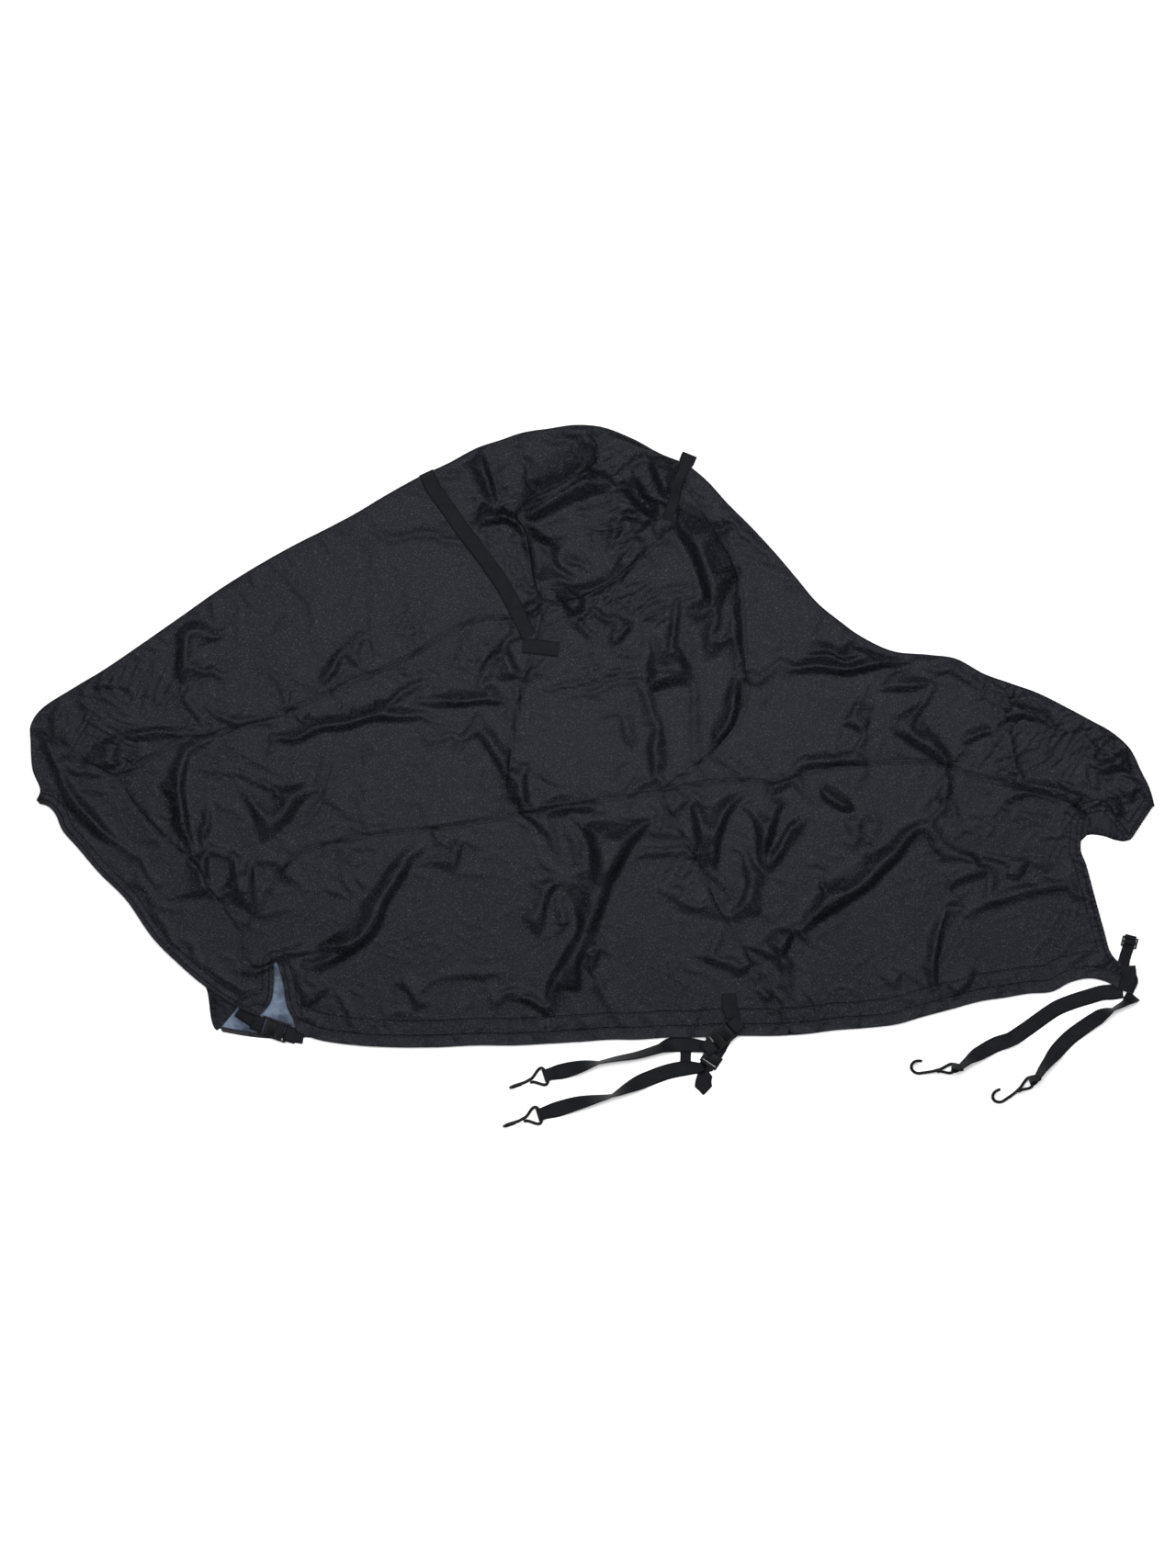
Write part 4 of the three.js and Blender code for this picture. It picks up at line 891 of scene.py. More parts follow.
def inside(x, y, outline):
    """True for points within a closed outline: a level line from each crosses it an odd number of times"""
    within = np.zeros(x.shape, bool)
    for (ax, ay), (bx, by) in zip(outline, np.roll(outline, -1, axis=0)):
        if ay != by:
            within ^= ((ay > y) != (by > y)) & (x < (bx - ax) * (y - ay) / (by - ay) + ax)
    return within


grid_x, grid_y = np.meshgrid(*(np.arange(low, high, SETTLE_STEP) for low, high in zip(GRID_LOW, GRID_HIGH)))
near_outline = np.vstack([ridge_line, UNDER_TAIL, notch[::-1], near_hem[::-1], nose_hem[::-1]])
within = inside(grid_x, grid_y, near_outline)
off_outline = off_line(grid_x.ravel(), grid_y.ravel(), np.vstack([near_outline, near_outline[:1]]))[0]
off_outline = off_outline.reshape(grid_x.shape)
kept = within | (off_outline < KEPT_STEPS * SETTLE_STEP)
held_still = ~within | (off_outline < HELD_STEPS * SETTLE_STEP)
settled = np.zeros(grid_x.shape + (3,))
settled[kept, 2] = slack_height(grid_x[kept], grid_y[kept])
print("points of the near side's grid:", int(kept.sum()))


# %% Settle it
def settle(start, held):
    """Runs the cloth simulation on the kept points and returns where they end, in metres"""
    number = -np.ones(kept.shape, int)
    number[kept] = np.arange(kept.sum())
    shape = bmesh.new()
    points = [shape.verts.new(p) for p in start]
    square = kept[:-1, :-1] & kept[1:, :-1] & kept[:-1, 1:] & kept[1:, 1:]
    corners = (number[:-1, :-1], number[:-1, 1:], number[1:, 1:], number[1:, :-1])
    for a, b, c, d in zip(*(corner[square] for corner in corners)):
        shape.faces.new((points[a], points[b], points[c], points[d]))
    mesh = bpy.data.meshes.new("settling_cloth")
    shape.to_mesh(mesh)
    shape.free()
    cloth = link_piece("settling_cloth", mesh, [])
    cloth.vertex_groups.new(name="held").add(np.flatnonzero(held).tolist(), 1.0, "REPLACE")
    ground = link_piece("settling_ground", floor_mesh.copy(), [])
    ground.location.z = (SETTLE_FLOOR - 0.5) * MM
    ground.modifiers.new("ground", "COLLISION")
    ground.collision.thickness_outer = SETTLE_TOUCH
    relax = cloth.modifiers.new("relax", "CLOTH")
    cloth_like, touch = relax.settings, relax.collision_settings
    cloth_like.mass, cloth_like.vertex_group_mass = SETTLE_MASS, "held"
    cloth_like.tension_stiffness = cloth_like.compression_stiffness = SETTLE_TENSION
    cloth_like.shear_stiffness, cloth_like.bending_stiffness = SETTLE_TENSION / 3, SETTLE_BENDING
    cloth_like.tension_damping = cloth_like.compression_damping = cloth_like.shear_damping = SETTLE_DAMPING
    cloth_like.shrink_min = -SETTLE_GROWTH
    cloth_like.effector_weights.gravity = SETTLE_GRAVITY
    touch.use_self_collision, touch.distance_min = False, SETTLE_TOUCH
    relax.point_cache.frame_start, relax.point_cache.frame_end = 1, SETTLE_FRAMES + 1
    for frame_number in range(1, SETTLE_FRAMES + 1):
        bpy.context.scene.frame_set(frame_number)
    relaxed = cloth.evaluated_get(bpy.context.evaluated_depsgraph_get()).to_mesh()
    end = np.zeros(len(start) * 3)
    relaxed.vertices.foreach_get("co", end)
    cloth.evaluated_get(bpy.context.evaluated_depsgraph_get()).to_mesh_clear()
    for used in (cloth, ground):
        bpy.data.objects.remove(used)
    bpy.context.scene.frame_set(1)
    return end.reshape(-1, 3)


start = np.column_stack([grid_x[kept], grid_y[kept], settled[kept, 2] + SETTLE_LIFT]) * MM
settled[kept] = (settle(start, held_still[kept]) - start) / MM + settled[kept]
low, high = settled[kept, 2].min(), settled[kept, 2].max()
print(f"after {SETTLE_FRAMES} steps, mm: {low:.1f} to {high:.1f}")


# %% Sharpen the crests, which the solver rounds
def averaged(heights):
    """Each point's height averaged with its neighbours', where they are part of the cloth"""
    total, weight = np.zeros(heights.shape), np.zeros(heights.shape)
    for down in (-1, 0, 1):
        for over in (-1, 0, 1):
            total += np.roll(heights * kept, (down, over), (0, 1))
            weight += np.roll(kept, (down, over), (0, 1))
    return np.where(kept, total / np.maximum(weight, 1), 0)


smoothed = settled[..., 2]
for _ in range(SHARPEN_PASSES):
    smoothed = averaged(smoothed)
settled[..., 2] = np.maximum(settled[..., 2] + SHARPEN * (settled[..., 2] - smoothed),
                             SHARPEN_LEAST * settled[..., 2])
print("settled heights, mm:", settled[kept, 2].min().round(1), "to", settled[kept, 2].max().round(1))


# %% Read the settled sheet anywhere
SINK_LIMIT, LAST_CELL = -1.5, 1.001


def settled_at(x, y):
    """How far the settled cloth moved a point in x and in y, and its height there, in mm"""
    u = np.clip((x - GRID_LOW[0]) / SETTLE_STEP, 0, grid_x.shape[1] - LAST_CELL)
    v = np.clip((y - GRID_LOW[1]) / SETTLE_STEP, 0, grid_x.shape[0] - LAST_CELL)
    i, j = u.astype(int), v.astype(int)
    a, b = (u - i)[..., None], (v - j)[..., None]
    low = settled[j, i] * (1 - a) + settled[j, i + 1] * a
    high = settled[j + 1, i] * (1 - a) + settled[j + 1, i + 1] * a
    return low * (1 - b) + high * b


def near_points(x, y):
    """The near side's cloth at plan points: where each really lies, in mm"""
    moved = settled_at(x, y)
    lifted = np.maximum(moved[..., 2] + sewn_height(x, y) + wrinkle_height(x, y), SINK_LIMIT)
    return np.stack([x + moved[..., 0], y + moved[..., 1], LAYER_TOP + lifted], axis=-1)


def near_height(x, y):
    return near_points(x, y)[..., 2]


print("near side at two places, mm:", np.round(near_height(*two_places), 1))

# %% [markdown]
# ## Cutting the panels
#
# Each panel is one grid of cloth. Its four borders are stretches of seam, ridge and hem, and the inside of
# the grid is spread evenly between them: a Coons patch, the usual way to fill a face with four curved edges.
# The four top panels go over the ridge, so their grid goes on round the fold and along the floor as the far
# side. Solidify then gives the cloth its thickness, with its back inside.

# %% Patches of cloth
NEAR_STEP, FAR_STEP = 5.0, 12.0
SEAM_ROWS = [1.2, 3.0]
CASING_SHARE, SEAM_FAR_OFF, HEM_FAR_OFF = 0.42, 40, 120
FOLD_ROWS = 6
CLOTH_THICK = 1.2


def shares(length, step):
    """Even shares of a length, with closer rows by both seams"""
    count = max(4, round(length / step))
    inner = np.linspace(0, 1, count + 1)[1:-1]
    edge = np.array(SEAM_ROWS) / length
    return np.concatenate([[0], edge, inner, 1 - edge[::-1], [1]])


def patch(bottom, top, left, right, us, vs, fade=(1, 1)):
    """
    Points over four borders; rows of v from the bottom up, columns of u from left to right. The patch with
    straight sides is pulled to each border. The pull fades evenly, or sooner where fade is over 1.
    """
    u, v = us[None, :, None], vs[:, None, None]
    points = ((1 - u) * (1 - v) * bottom[0] + u * (1 - v) * bottom[-1]
              + (1 - u) * v * top[0] + u * v * top[-1])
    for line, share, along, straight, power in (
            (left, 1 - u, vs, (bottom[0], top[0]), fade[0]), (right, u, vs, (bottom[-1], top[-1]), fade[0]),
            (bottom, 1 - v, us, (bottom[0], bottom[-1]), fade[1]), (top, v, us, (top[0], top[-1]), fade[1])):
        level = straight[0] + along[:, None] * (np.asarray(straight[1]) - np.asarray(straight[0]))
        pull = at_shares(line, along) - level
        points += share ** power * (pull[:, None] if along is vs else pull[None])
    return points


def span(*lines):
    return max(run_along(line)[-1] for line in lines)


print("rows over 100 mm:", len(shares(100, NEAR_STEP)))


# %% The far side's height, and the measures that the stitches need
RIB_GATHER, RIB_HIGH, RIB_FADE, RIB_LEAN, RIB_START = 11, 3.4, 30, 0.2, 4
RIPPLE_SHARE, RIPPLE_MIDDLE, RIPPLE_WAVE, RIPPLE_CRUMPLE, RIPPLE_START = 0.8, 1.5, 1.2, 0.7, 25
WAVE_SIZE, FAR_CRUMPLE_SIZE, LEAST_RIPPLE, FAR_AWAY = 120, 45, 0.05, 1000.0


def far_height(x, y):
    """The far side's outer face lies on the floor, with slack ripples where it shows"""
    ripple = RIPPLE_MIDDLE + RIPPLE_WAVE * gradient_noise(x, y, WAVE_SIZE, 21) \
        + RIPPLE_CRUMPLE * crumple(x, y, FAR_CRUMPLE_SIZE, 22)
    off_hem = off_line(x, y, far_hem)[0]
    off_tail, _, run, _ = off_line(x, y, far_tail_edge)
    waves = 0.5 + 0.5 * np.sin(2 * math.pi * (run + RIB_LEAN * off_tail) / RIB_GATHER)
    ribs = RIB_HIGH * waves * np.exp(-off_tail / RIB_FADE) * ease(off_tail / RIB_START)
    return np.maximum(LEAST_RIPPLE, ripple * ease(off_hem / RIPPLE_START)) * RIPPLE_SHARE + ribs


def seam_measures(x, y, lines, hems, casings):
    """Distances in metres to the closest seam and hem, and the run along them; a casing is a small hem"""
    found = []
    hem_group = [(line, 1) for line in hems] + [(line, CASING_SHARE) for line in casings]
    for group, reach in (([(line, 1) for line in lines], SEAM_FAR_OFF), (hem_group, HEM_FAR_OFF)):
        gap, run = np.full(x.shape, FAR_AWAY), np.zeros(x.shape)
        for line, share in group:
            away, _, along, _ = off_line(x, y, line, reach * share)
            away = away / share
            closer = away < gap
            gap[closer], run[closer] = away[closer], along[closer]
        found += [gap * MM, run * MM]
    return dict(zip(("seam_gap", "seam_run", "hem_gap", "hem_run"), found))


print("far side at two places, mm:", np.round(far_height(*two_places), 1))


# %% A mesh from a grid, and its flat cut
def cloth_mesh(name, grid, cut, measures):
    """A grid of cloth: points in rows, its flat cut as UV and the measures that its material reads"""
    rows, columns = grid.shape[:2]
    shape = bmesh.new()
    bmesh.ops.create_grid(shape, x_segments=columns - 1, y_segments=rows - 1, size=1)
    mesh = bpy.data.meshes.new(name)
    shape.to_mesh(mesh)
    shape.free()
    co = np.zeros(rows * columns * 3)
    mesh.vertices.foreach_get("co", co)
    co = co.reshape(-1, 3)
    i = np.rint((co[:, 1] + 1) / 2 * (rows - 1)).astype(int)
    k = np.rint((co[:, 0] + 1) / 2 * (columns - 1)).astype(int)
    mesh.vertices.foreach_set("co", metres(grid[i, k]).ravel())
    for key, values in measures.items():
        mesh.attributes.new(key, "FLOAT", "POINT").data.foreach_set("value", values[i, k].astype(np.float32))
    corner_vertex = np.zeros(len(mesh.loops), np.int32)
    mesh.loops.foreach_get("vertex_index", corner_vertex)
    layer = mesh.uv_layers.new(name="cut")
    layer.data.foreach_set("uv", (cut[i, k][corner_vertex] * MM).astype(np.float32).ravel())
    mesh.shade_smooth()
    mesh.update()
    return mesh


def cut_lengths(grid):
    """The flat cut: how far each point is along its row and along its column"""
    across = np.linalg.norm(np.diff(grid, axis=1), axis=2)
    up = np.linalg.norm(np.diff(grid, axis=0), axis=2)
    width = np.concatenate([np.zeros((grid.shape[0], 1)), np.cumsum(across, axis=1)], axis=1)
    height = np.concatenate([np.zeros((1, grid.shape[1])), np.cumsum(up, axis=0)], axis=0)
    return np.stack([width, height], axis=-1)


def area_of(grid):
    a, b, c, d = grid[:-1, :-1], grid[:-1, 1:], grid[1:, 1:], grid[1:, :-1]
    halves = [np.linalg.norm(np.cross(q - p, r - p), axis=-1) for p, q, r in ((a, b, c), (a, c, d))]
    return float(sum(h.sum() for h in halves)) / 2


square = np.dstack([*np.meshgrid(np.arange(3), np.arange(3)), np.zeros((3, 3))])
print("a square of 2 by 2 has an area of", area_of(square))


# %% Near, far and fold
def near_grid(bottom, top, left, right, us=None, fade=(1, 1), rows=NEAR_STEP):
    """Points of the near side with, behind them, their place on the plan before the cloth settled"""
    us = shares(span(bottom, top), NEAR_STEP) if us is None else us
    flat = patch(bottom, top, left, right, us, shares(span(left, right), rows), fade)
    points = near_points(flat[..., 0].ravel(), flat[..., 1].ravel()).reshape(flat.shape[:2] + (3,))
    return np.dstack([points, flat])


def far_grid(bottom, top, left, right, us=None, fade=(1, 1), rows=FAR_STEP):
    """Rows from the top down, so that the face turned to the floor is the outer one"""
    us = shares(span(bottom, top), FAR_STEP) if us is None else us
    flat = patch(bottom, top, left, right, us, shares(span(left, right), rows), fade)[::-1]
    high = far_height(flat[..., 0].ravel(), flat[..., 1].ravel())
    return np.dstack([flat, high.reshape(flat.shape[:2]), flat])


def fold_grid(top, us, high):
    """Rows round the fold at the ridge, from the near side down to the far side"""
    start = at_shares(top, us)
    way = np.gradient(start, axis=0)
    way /= np.linalg.norm(way, axis=1)[:, None]
    out = np.column_stack([-way[:, 1], way[:, 0]])
    rows = []
    for k in range(1, FOLD_ROWS):
        turn = math.pi * k / FOLD_ROWS
        flat = start + FOLD_RADIUS * math.sin(turn) * out
        rows.append(np.column_stack([flat, high * (1 + math.cos(turn)) / 2, flat]))
    return np.stack(rows)


print("rows round the fold:", FOLD_ROWS - 1)


def make_panel(name, grid, nodes, edges, back=silver_back):
    seams_here = near_seams + [seam_lines["far_corner"]]
    x, y = grid[..., 3].ravel(), grid[..., 4].ravel()
    grid = grid[..., :3]
    measures = {key: values.reshape(grid.shape[:2])
                for key, values in seam_measures(x, y, seams_here, *edges).items()}
    cut = cut_lengths(grid)
    piece = link_piece(name + "_cloth", cloth_mesh(name + "_cloth", grid, cut, measures), [shell, back])
    thick = piece.modifiers.new("cloth thickness", "SOLIDIFY")
    thick.thickness = CLOTH_THICK * MM
    thick.offset = -1
    thick.material_offset = 1
    thick.material_offset_rim = 0
    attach(piece, "root")
    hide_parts(*nodes)
    return piece


print("cloth thickness, mm:", CLOTH_THICK)

# %% Corners where the seams meet
P1, P4, P5 = (tuple(inset[nearest(inset, p)]) for p in ((-1461, 112), (-6, 908), (241, 811)))
NOSE_TOP, TAIL_TOP = tuple(inset[0]), tuple(inset[-1])
S = seam_lines
FAR_FOOT, SLIT_FOOT, SKIRT_FOOT = (-970, -661), (-769, -669), (519, -678)
SEAT_LOW, BELT_START, REAR_FOOT = (173, -46), (-917, -418), (1412, -571)
BELT_END, FAR_BELT_END, TAIL_FOOT = (1289, -105), (1293, -157), (1400, -170)
SLIT_TOP, SLIT_OVER, CORNER_TURN = (-829, -488), (-821, -486), (-905, -486)
COWL_LOW, COWL_TURN, COWL_HIGH = (-122, 446), (158, 595), (237, 770)
NOSE_LOW, HOOD_LOW, BELT_OVER = (-1445, -72), (-1241, -10), (1300, -110)
FAR_NOSE_HEM = [(-1145, -420), (-1215, -320), (-1285, -250), (-1345, -180), (-1378, -140), (-1398, -97),
                (-1425, -76), NOSE_LOW]
near_edges = [near_hem], [nose_hem, slit_left, slit_right, notch, raised, tail_edge]
far_edges = [far_hem, far_tail_edge], []


print("top corners, mm:", [tuple(np.round(p)) for p in (NOSE_TOP, P1, P4, P5, TAIL_TOP)])


# %% A panel over the ridge
def folded_panel(name, near, far, top, fade=(1, 1), back=silver_back, steps=(NEAR_STEP, NEAR_STEP, FAR_STEP)):
    """
    A panel over the ridge: near patch, fold and far patch, in one grid. The steps are those of its columns,
    of its near rows and of its far rows.
    """
    us = shares(span(top, near[0]), steps[0])
    upper = near_grid(near[0], top, near[1], near[2], us, fade, steps[1])
    lower = far_grid(far[0], top, far[1], far[2], us, fade, steps[2])
    grid = np.concatenate([upper, fold_grid(top, us, upper[-1, :, 2]), lower])
    return make_panel(name, grid, [name], near_edges, back)


print("a folded panel is near rows, fold and far rows in one")

# %% The four panels over the ridge
HOOD_STEPS, SEAT_STEPS = (5.2, 5.2, 40.0), (5.4, 8.2, 40.0)
nose_top = between(inset, NOSE_TOP, P1)
nose_foot, far_nose_foot = slit_left[::-1], between(S["far_corner"], FAR_FOOT, CORNER_TURN)
far_nose_left = join(between(smooth(FAR_CORNER[::-1] + FAR_NOSE_HEM), FAR_FOOT, NOSE_LOW),
                     np.array([NOSE_LOW, NOSE_TOP]))
near_nose_left = join(nose_hem[::-1], np.array([NOSE_HEM[0], NOSE_TOP]))
nose_seam = between(S["nose_inner"], BELT_START, P1)
near_nose_right = join(between(S["near_corner"], SLIT_TOP, BELT_START), nose_seam)
far_nose_right = join(between(S["far_corner"], CORNER_TURN, BELT_START), nose_seam)
folded_panel("nose_panel", (nose_foot, near_nose_left, near_nose_right),
             (far_nose_foot, far_nose_left, far_nose_right), nose_top, (1, 1.5), black_back)

hood_foot = S["hood_edge"]
hood_left = between(S["nose_inner"], HOOD_LOW, P1)
hood_right = between(S["cowl_front"], COWL_LOW, P4)
folded_panel("hood_top", (hood_foot, hood_left, hood_right), (hood_foot, hood_left, hood_right),
             between(inset, P1, P4), steps=HOOD_STEPS)

cowl_foot = between(S["cowl_lower"], COWL_LOW, COWL_TURN)
cowl_right = between(S["cowl_lower"], COWL_TURN, P5)
folded_panel("windshield_top", (cowl_foot, hood_right, cowl_right), (cowl_foot, hood_right, cowl_right),
             between(inset, P4, P5))

seat_left = join(between(S["seat_front"], SEAT_LOW, COWL_HIGH), between(S["cowl_lower"], COWL_HIGH, P5))
seat_foot = join(between(S["belt_rear"], SEAT_LOW, BELT_END), between(tail_edge, BELT_END, TAIL_FOOT))
seat_right = between(tail_edge, TAIL_FOOT, TAIL_TOP)
far_belt = between(join(S["belt_rear"], np.array([BELT_OVER, FAR_BELT_END])), SEAT_LOW, FAR_BELT_END)
far_seat_foot = join(far_belt, between(far_tail_edge, FAR_BELT_END, TAIL_FOOT))
far_seat_right = join(between(far_tail_edge, TAIL_FOOT, far_tail_edge[-2]),
                      np.array([far_tail_edge[-2], TAIL_TOP]))
folded_panel("seat_panel", (seat_foot, seat_left, seat_right), (far_seat_foot, seat_left, far_seat_right),
             between(inset, P5, TAIL_TOP), (2, 1.5), black_back, SEAT_STEPS)

# %% The side panels and the skirts
hood_side = (S["belt_front"], hood_foot, between(S["nose_inner"], BELT_START, HOOD_LOW), S["side_join"])
shield_side = (S["belt_middle"], between(S["cowl_lower"], COWL_LOW, COWL_HIGH), S["side_join"],
               S["seat_front"])
front_top = join(between(S["near_corner"], CORNER_TURN, BELT_START), S["belt_front"], S["belt_middle"])
front_near = (between(near_hem, SLIT_FOOT, SKIRT_FOOT), front_top,
              join(slit_right[::-1], np.array([SLIT_OVER, SLIT_TOP]),
                   between(S["near_corner"], SLIT_TOP, CORNER_TURN)), S["skirt_join"])
front_far = (between(far_hem, FAR_FOOT, SKIRT_FOOT), front_top,
             between(S["far_corner"], FAR_FOOT, CORNER_TURN), S["skirt_join"])
rear_near = (between(near_hem, SKIRT_FOOT, REAR_FOOT), between(S["belt_rear"], SEAT_LOW, BELT_END),
             S["skirt_join"], join(notch, raised[:-1], np.array([raised[-2], BELT_END])))
rear_far = (between(far_hem, SKIRT_FOOT, REAR_FOOT), far_belt,
            S["skirt_join"], join(notch[:-2], np.array([notch[-3], FAR_BELT_END])))
side_panels = [("hood_side", hood_side, (1, 1)), ("windshield_side", shield_side, (1, 1))]
near_skirts = [("front_skirt", front_near, (1, 4)), ("rear_skirt", rear_near, (6, 9))]
far_skirts = [("front_skirt", front_far, (1, 9)), ("rear_skirt", rear_far, (2, 6))]
for side, points_of, edges, skirts in (("_near", near_grid, near_edges, near_skirts),
                                       ("_far", far_grid, far_edges, far_skirts)):
    for name, borders, fade in side_panels + skirts:
        make_panel(name + side, points_of(*borders, fade=fade), [name + side], edges,
                   black_back if name == "rear_skirt" else silver_back)

# %% [markdown]
# ## Webbing, wire and plastic
#
# The straps are black twill webbing, 40 mm wide: stiff, matt and ribbed across. The hooks are steel wire
# bent cold and dipped in black plastic, which leaves them smooth and a little uneven. The buckles and
# sliders are moulded in glossy black plastic.


# %% Three more materials
WEB_DARK, WEB_LIGHT = (0.0024, 0.0025, 0.0030, 1), (0.0105, 0.0112, 0.0136, 1)
WEB_BUMP, SEWN_BUMP, DIP_BUMP, WORN_SIZE = (0.0011, 0.9), (-0.0004, 0.8), (0.0004, 0.3), 45.0
PLASTIC_BLACK, WIRE_BLACK = (0.0032, 0.0032, 0.0036, 1), (0.0045, 0.0047, 0.005, 1)
RIB_PITCH, TWILL_PITCH = 0.0022, 0.0052
RIB_SHARE, TWILL_SHARE, THREAD_SHARE, WORN_SHARE = 0.3, 0.7, 0.6, 0.5
BOX_STITCH, BOX_THREAD = 0.004, 0.0012


def webbing_material():
    material, tree, shader = new_material("twill_webbing", IOR=1.145, Roughness=0.5, Specular_Tint=SHEEN_TINT)
    ribs = ribs_along(tree, 0.5 / RIB_PITCH, "Y")
    twill = ribs_along(tree, 0.35 / TWILL_PITCH, "DIAGONAL", "SAW", 0.4)
    threads = math_node(tree, "ADD", math_node(tree, "MULTIPLY", ribs, RIB_SHARE),
                        math_node(tree, "MULTIPLY", twill, TWILL_SHARE))
    worn = math_node(tree, "MULTIPLY", noise(tree, WORN_SIZE, 3.0), WORN_SHARE)
    amount = math_node(tree, "ADD", math_node(tree, "MULTIPLY", threads, THREAD_SHARE), worn, clamp=True)
    thread = stitch_row(tree, measure(tree, "seam_gap"), measure(tree, "seam_run"), BOX_STITCH, BOX_THREAD)
    colour = blend_colours(tree, amount, WEB_DARK, WEB_LIGHT)
    tree.links.new(blend_colours(tree, thread, colour, THREAD_BLACK), shader.inputs["Base Color"])
    add_bump(tree, shader, [(threads, *WEB_BUMP), (thread, *SEWN_BUMP)])
    return material


def dipped_material(name, colour, roughness, bumps):
    material, tree, shader = new_material(name, Base_Color=colour, IOR=1.15, Specular_Tint=SHEEN_TINT)
    patchy = noise(tree, bumps, 3.0)
    tree.links.new(map_range(tree, patchy, PATCH_SPREAD, roughness), shader.inputs["Roughness"])
    add_bump(tree, shader, [(patchy, *DIP_BUMP)])
    return material


webbing = webbing_material()
wire_coat = dipped_material("dipped_wire", WIRE_BLACK, (0.24, 0.42), 160.0)
plastic = dipped_material("moulded_plastic", PLASTIC_BLACK, (0.3, 0.46), 60.0)
print("fittings:", webbing.name, wire_coat.name, plastic.name)

# %% [markdown]
# ## How a strap runs
#
# A strap is followed by frames: at each step its middle, the direction of its width, and its width. Where
# it lies on the cover it bridges the small hollows. Where it lies free on the floor it rolls on its edge,
# because flat webbing can't turn a corner on the flat: it stands up and twists.

# %% Frames along a strap
WEB_WIDTH, WEB_THICK, WEB_STEP, CLEAR, BAR_TAIL = 40, 1.6, 5.0, 0.5, 26
UP = np.array([0.0, 0.0, 1.0])
BRIDGE = np.ones(9) / 9


def unit(vectors):
    return vectors / np.linalg.norm(vectors, axis=-1, keepdims=True)


def even_out(values):
    return np.convolve(np.pad(values, 4, mode="edge"), BRIDGE, mode="valid")


def frames_along(points, rolls, width=WEB_WIDTH):
    """Each side starts level, square to the route on its left, and rolls up about it"""
    way = unit(np.gradient(points, axis=0))
    level = unit(np.cross(UP, way))
    roll = np.radians(rolls)[:, None]
    side = level * np.cos(roll) + np.cross(way, level) * np.sin(roll)
    return points, side, np.full(len(points), float(width))


def free_frames(rows, width=WEB_WIDTH):
    """Rows of x, y, height of the lower edge and roll"""
    rows = np.asarray(rows, float)
    line = smooth(rows[:, :2], WEB_STEP)
    run = run_along(line)
    at_rows = run[[nearest(line, row[:2]) for row in rows]]
    lift, roll = (np.interp(run, at_rows, rows[:, k]) for k in (2, 3))
    turn = np.radians(roll)
    half = (WEB_WIDTH * np.sin(turn) + WEB_THICK * np.cos(turn)) / 2
    return frames_along(np.column_stack([line, lift + half]), roll, width)


def laid_frames(rows, width=WEB_WIDTH):
    """On the near side's cloth, leaning as it leans, just clear of it across the whole width"""
    line = smooth(rows, WEB_STEP)
    way = unit(np.gradient(line, axis=0))
    left = np.column_stack([-way[:, 1], way[:, 0]])
    across = np.linspace(-0.5, 0.5, 7) * width
    cloth = np.stack([near_height(*(line + reach * left).T) for reach in across])
    lean = even_out((cloth[-1] - cloth[0]) / width)
    high = (cloth - across[:, None] * lean).max(axis=0)
    high = even_out(np.maximum(high, np.maximum(np.roll(high, 1), np.roll(high, -1))))
    middle = np.column_stack([line, high + CLEAR + WEB_THICK / 2])
    return frames_along(middle, np.degrees(np.arctan(lean)), width)


print("frames of a free metre:", len(free_frames([(0, 0, 0, 0), (1000, 0, 0, 90)])[0]))


# %% A strap's end round a bar
def placing(at, height, heading, pitch=0.0, roll=0.0):
    matrix = Matrix.Translation((*at, height))
    for turn, axis in ((heading, "Z"), (pitch, "Y"), (roll, "X")):
        matrix = matrix @ Matrix.Rotation(math.radians(turn), 4, axis)
    return matrix


def placed(matrix, points):
    turn = np.array(matrix)
    return np.asarray(points, float) @ turn[:3, :3].T + turn[:3, 3]


def loop_frames(matrix, bar_radius, width=WEB_WIDTH):
    """A strap's end: under a bar that lies along its own Y, round it, and back over itself"""
    radius = bar_radius + CLEAR + WEB_THICK / 2
    back = WEB_THICK + CLEAR - radius
    turns = np.radians(np.arange(20, 181, 20))
    path = [(-8, -radius), (0, -radius), *zip(radius * np.sin(turns), -radius * np.cos(turns)),
            (-0.7 * radius, radius), (-0.75 * BAR_TAIL, back), (-BAR_TAIL, back)]
    points = placed(matrix, [(x, 0, z) for x, z in path])
    return points, np.tile(np.array(matrix)[:3, 1], (len(path), 1)), np.full(len(path), float(width))


def other_way(frames, skip=0):
    points, side, width = (part[::-1][skip:] for part in frames)
    return points, -side, width


print("frames round a bar:", len(loop_frames(placing((0, 0), 0, 0), 2)[0]))

# %% [markdown]
# ## Hooks, buckles and sliders
#
# A hook is one wire: a rounded triangular eye, a stem and a bend that stands at right angles to the eye. A
# side-release buckle has a socket and a plug with two arms; each half has a slot for its strap. A slider is
# a small ladder. Each is laid out here first, because the straps run round their bars.

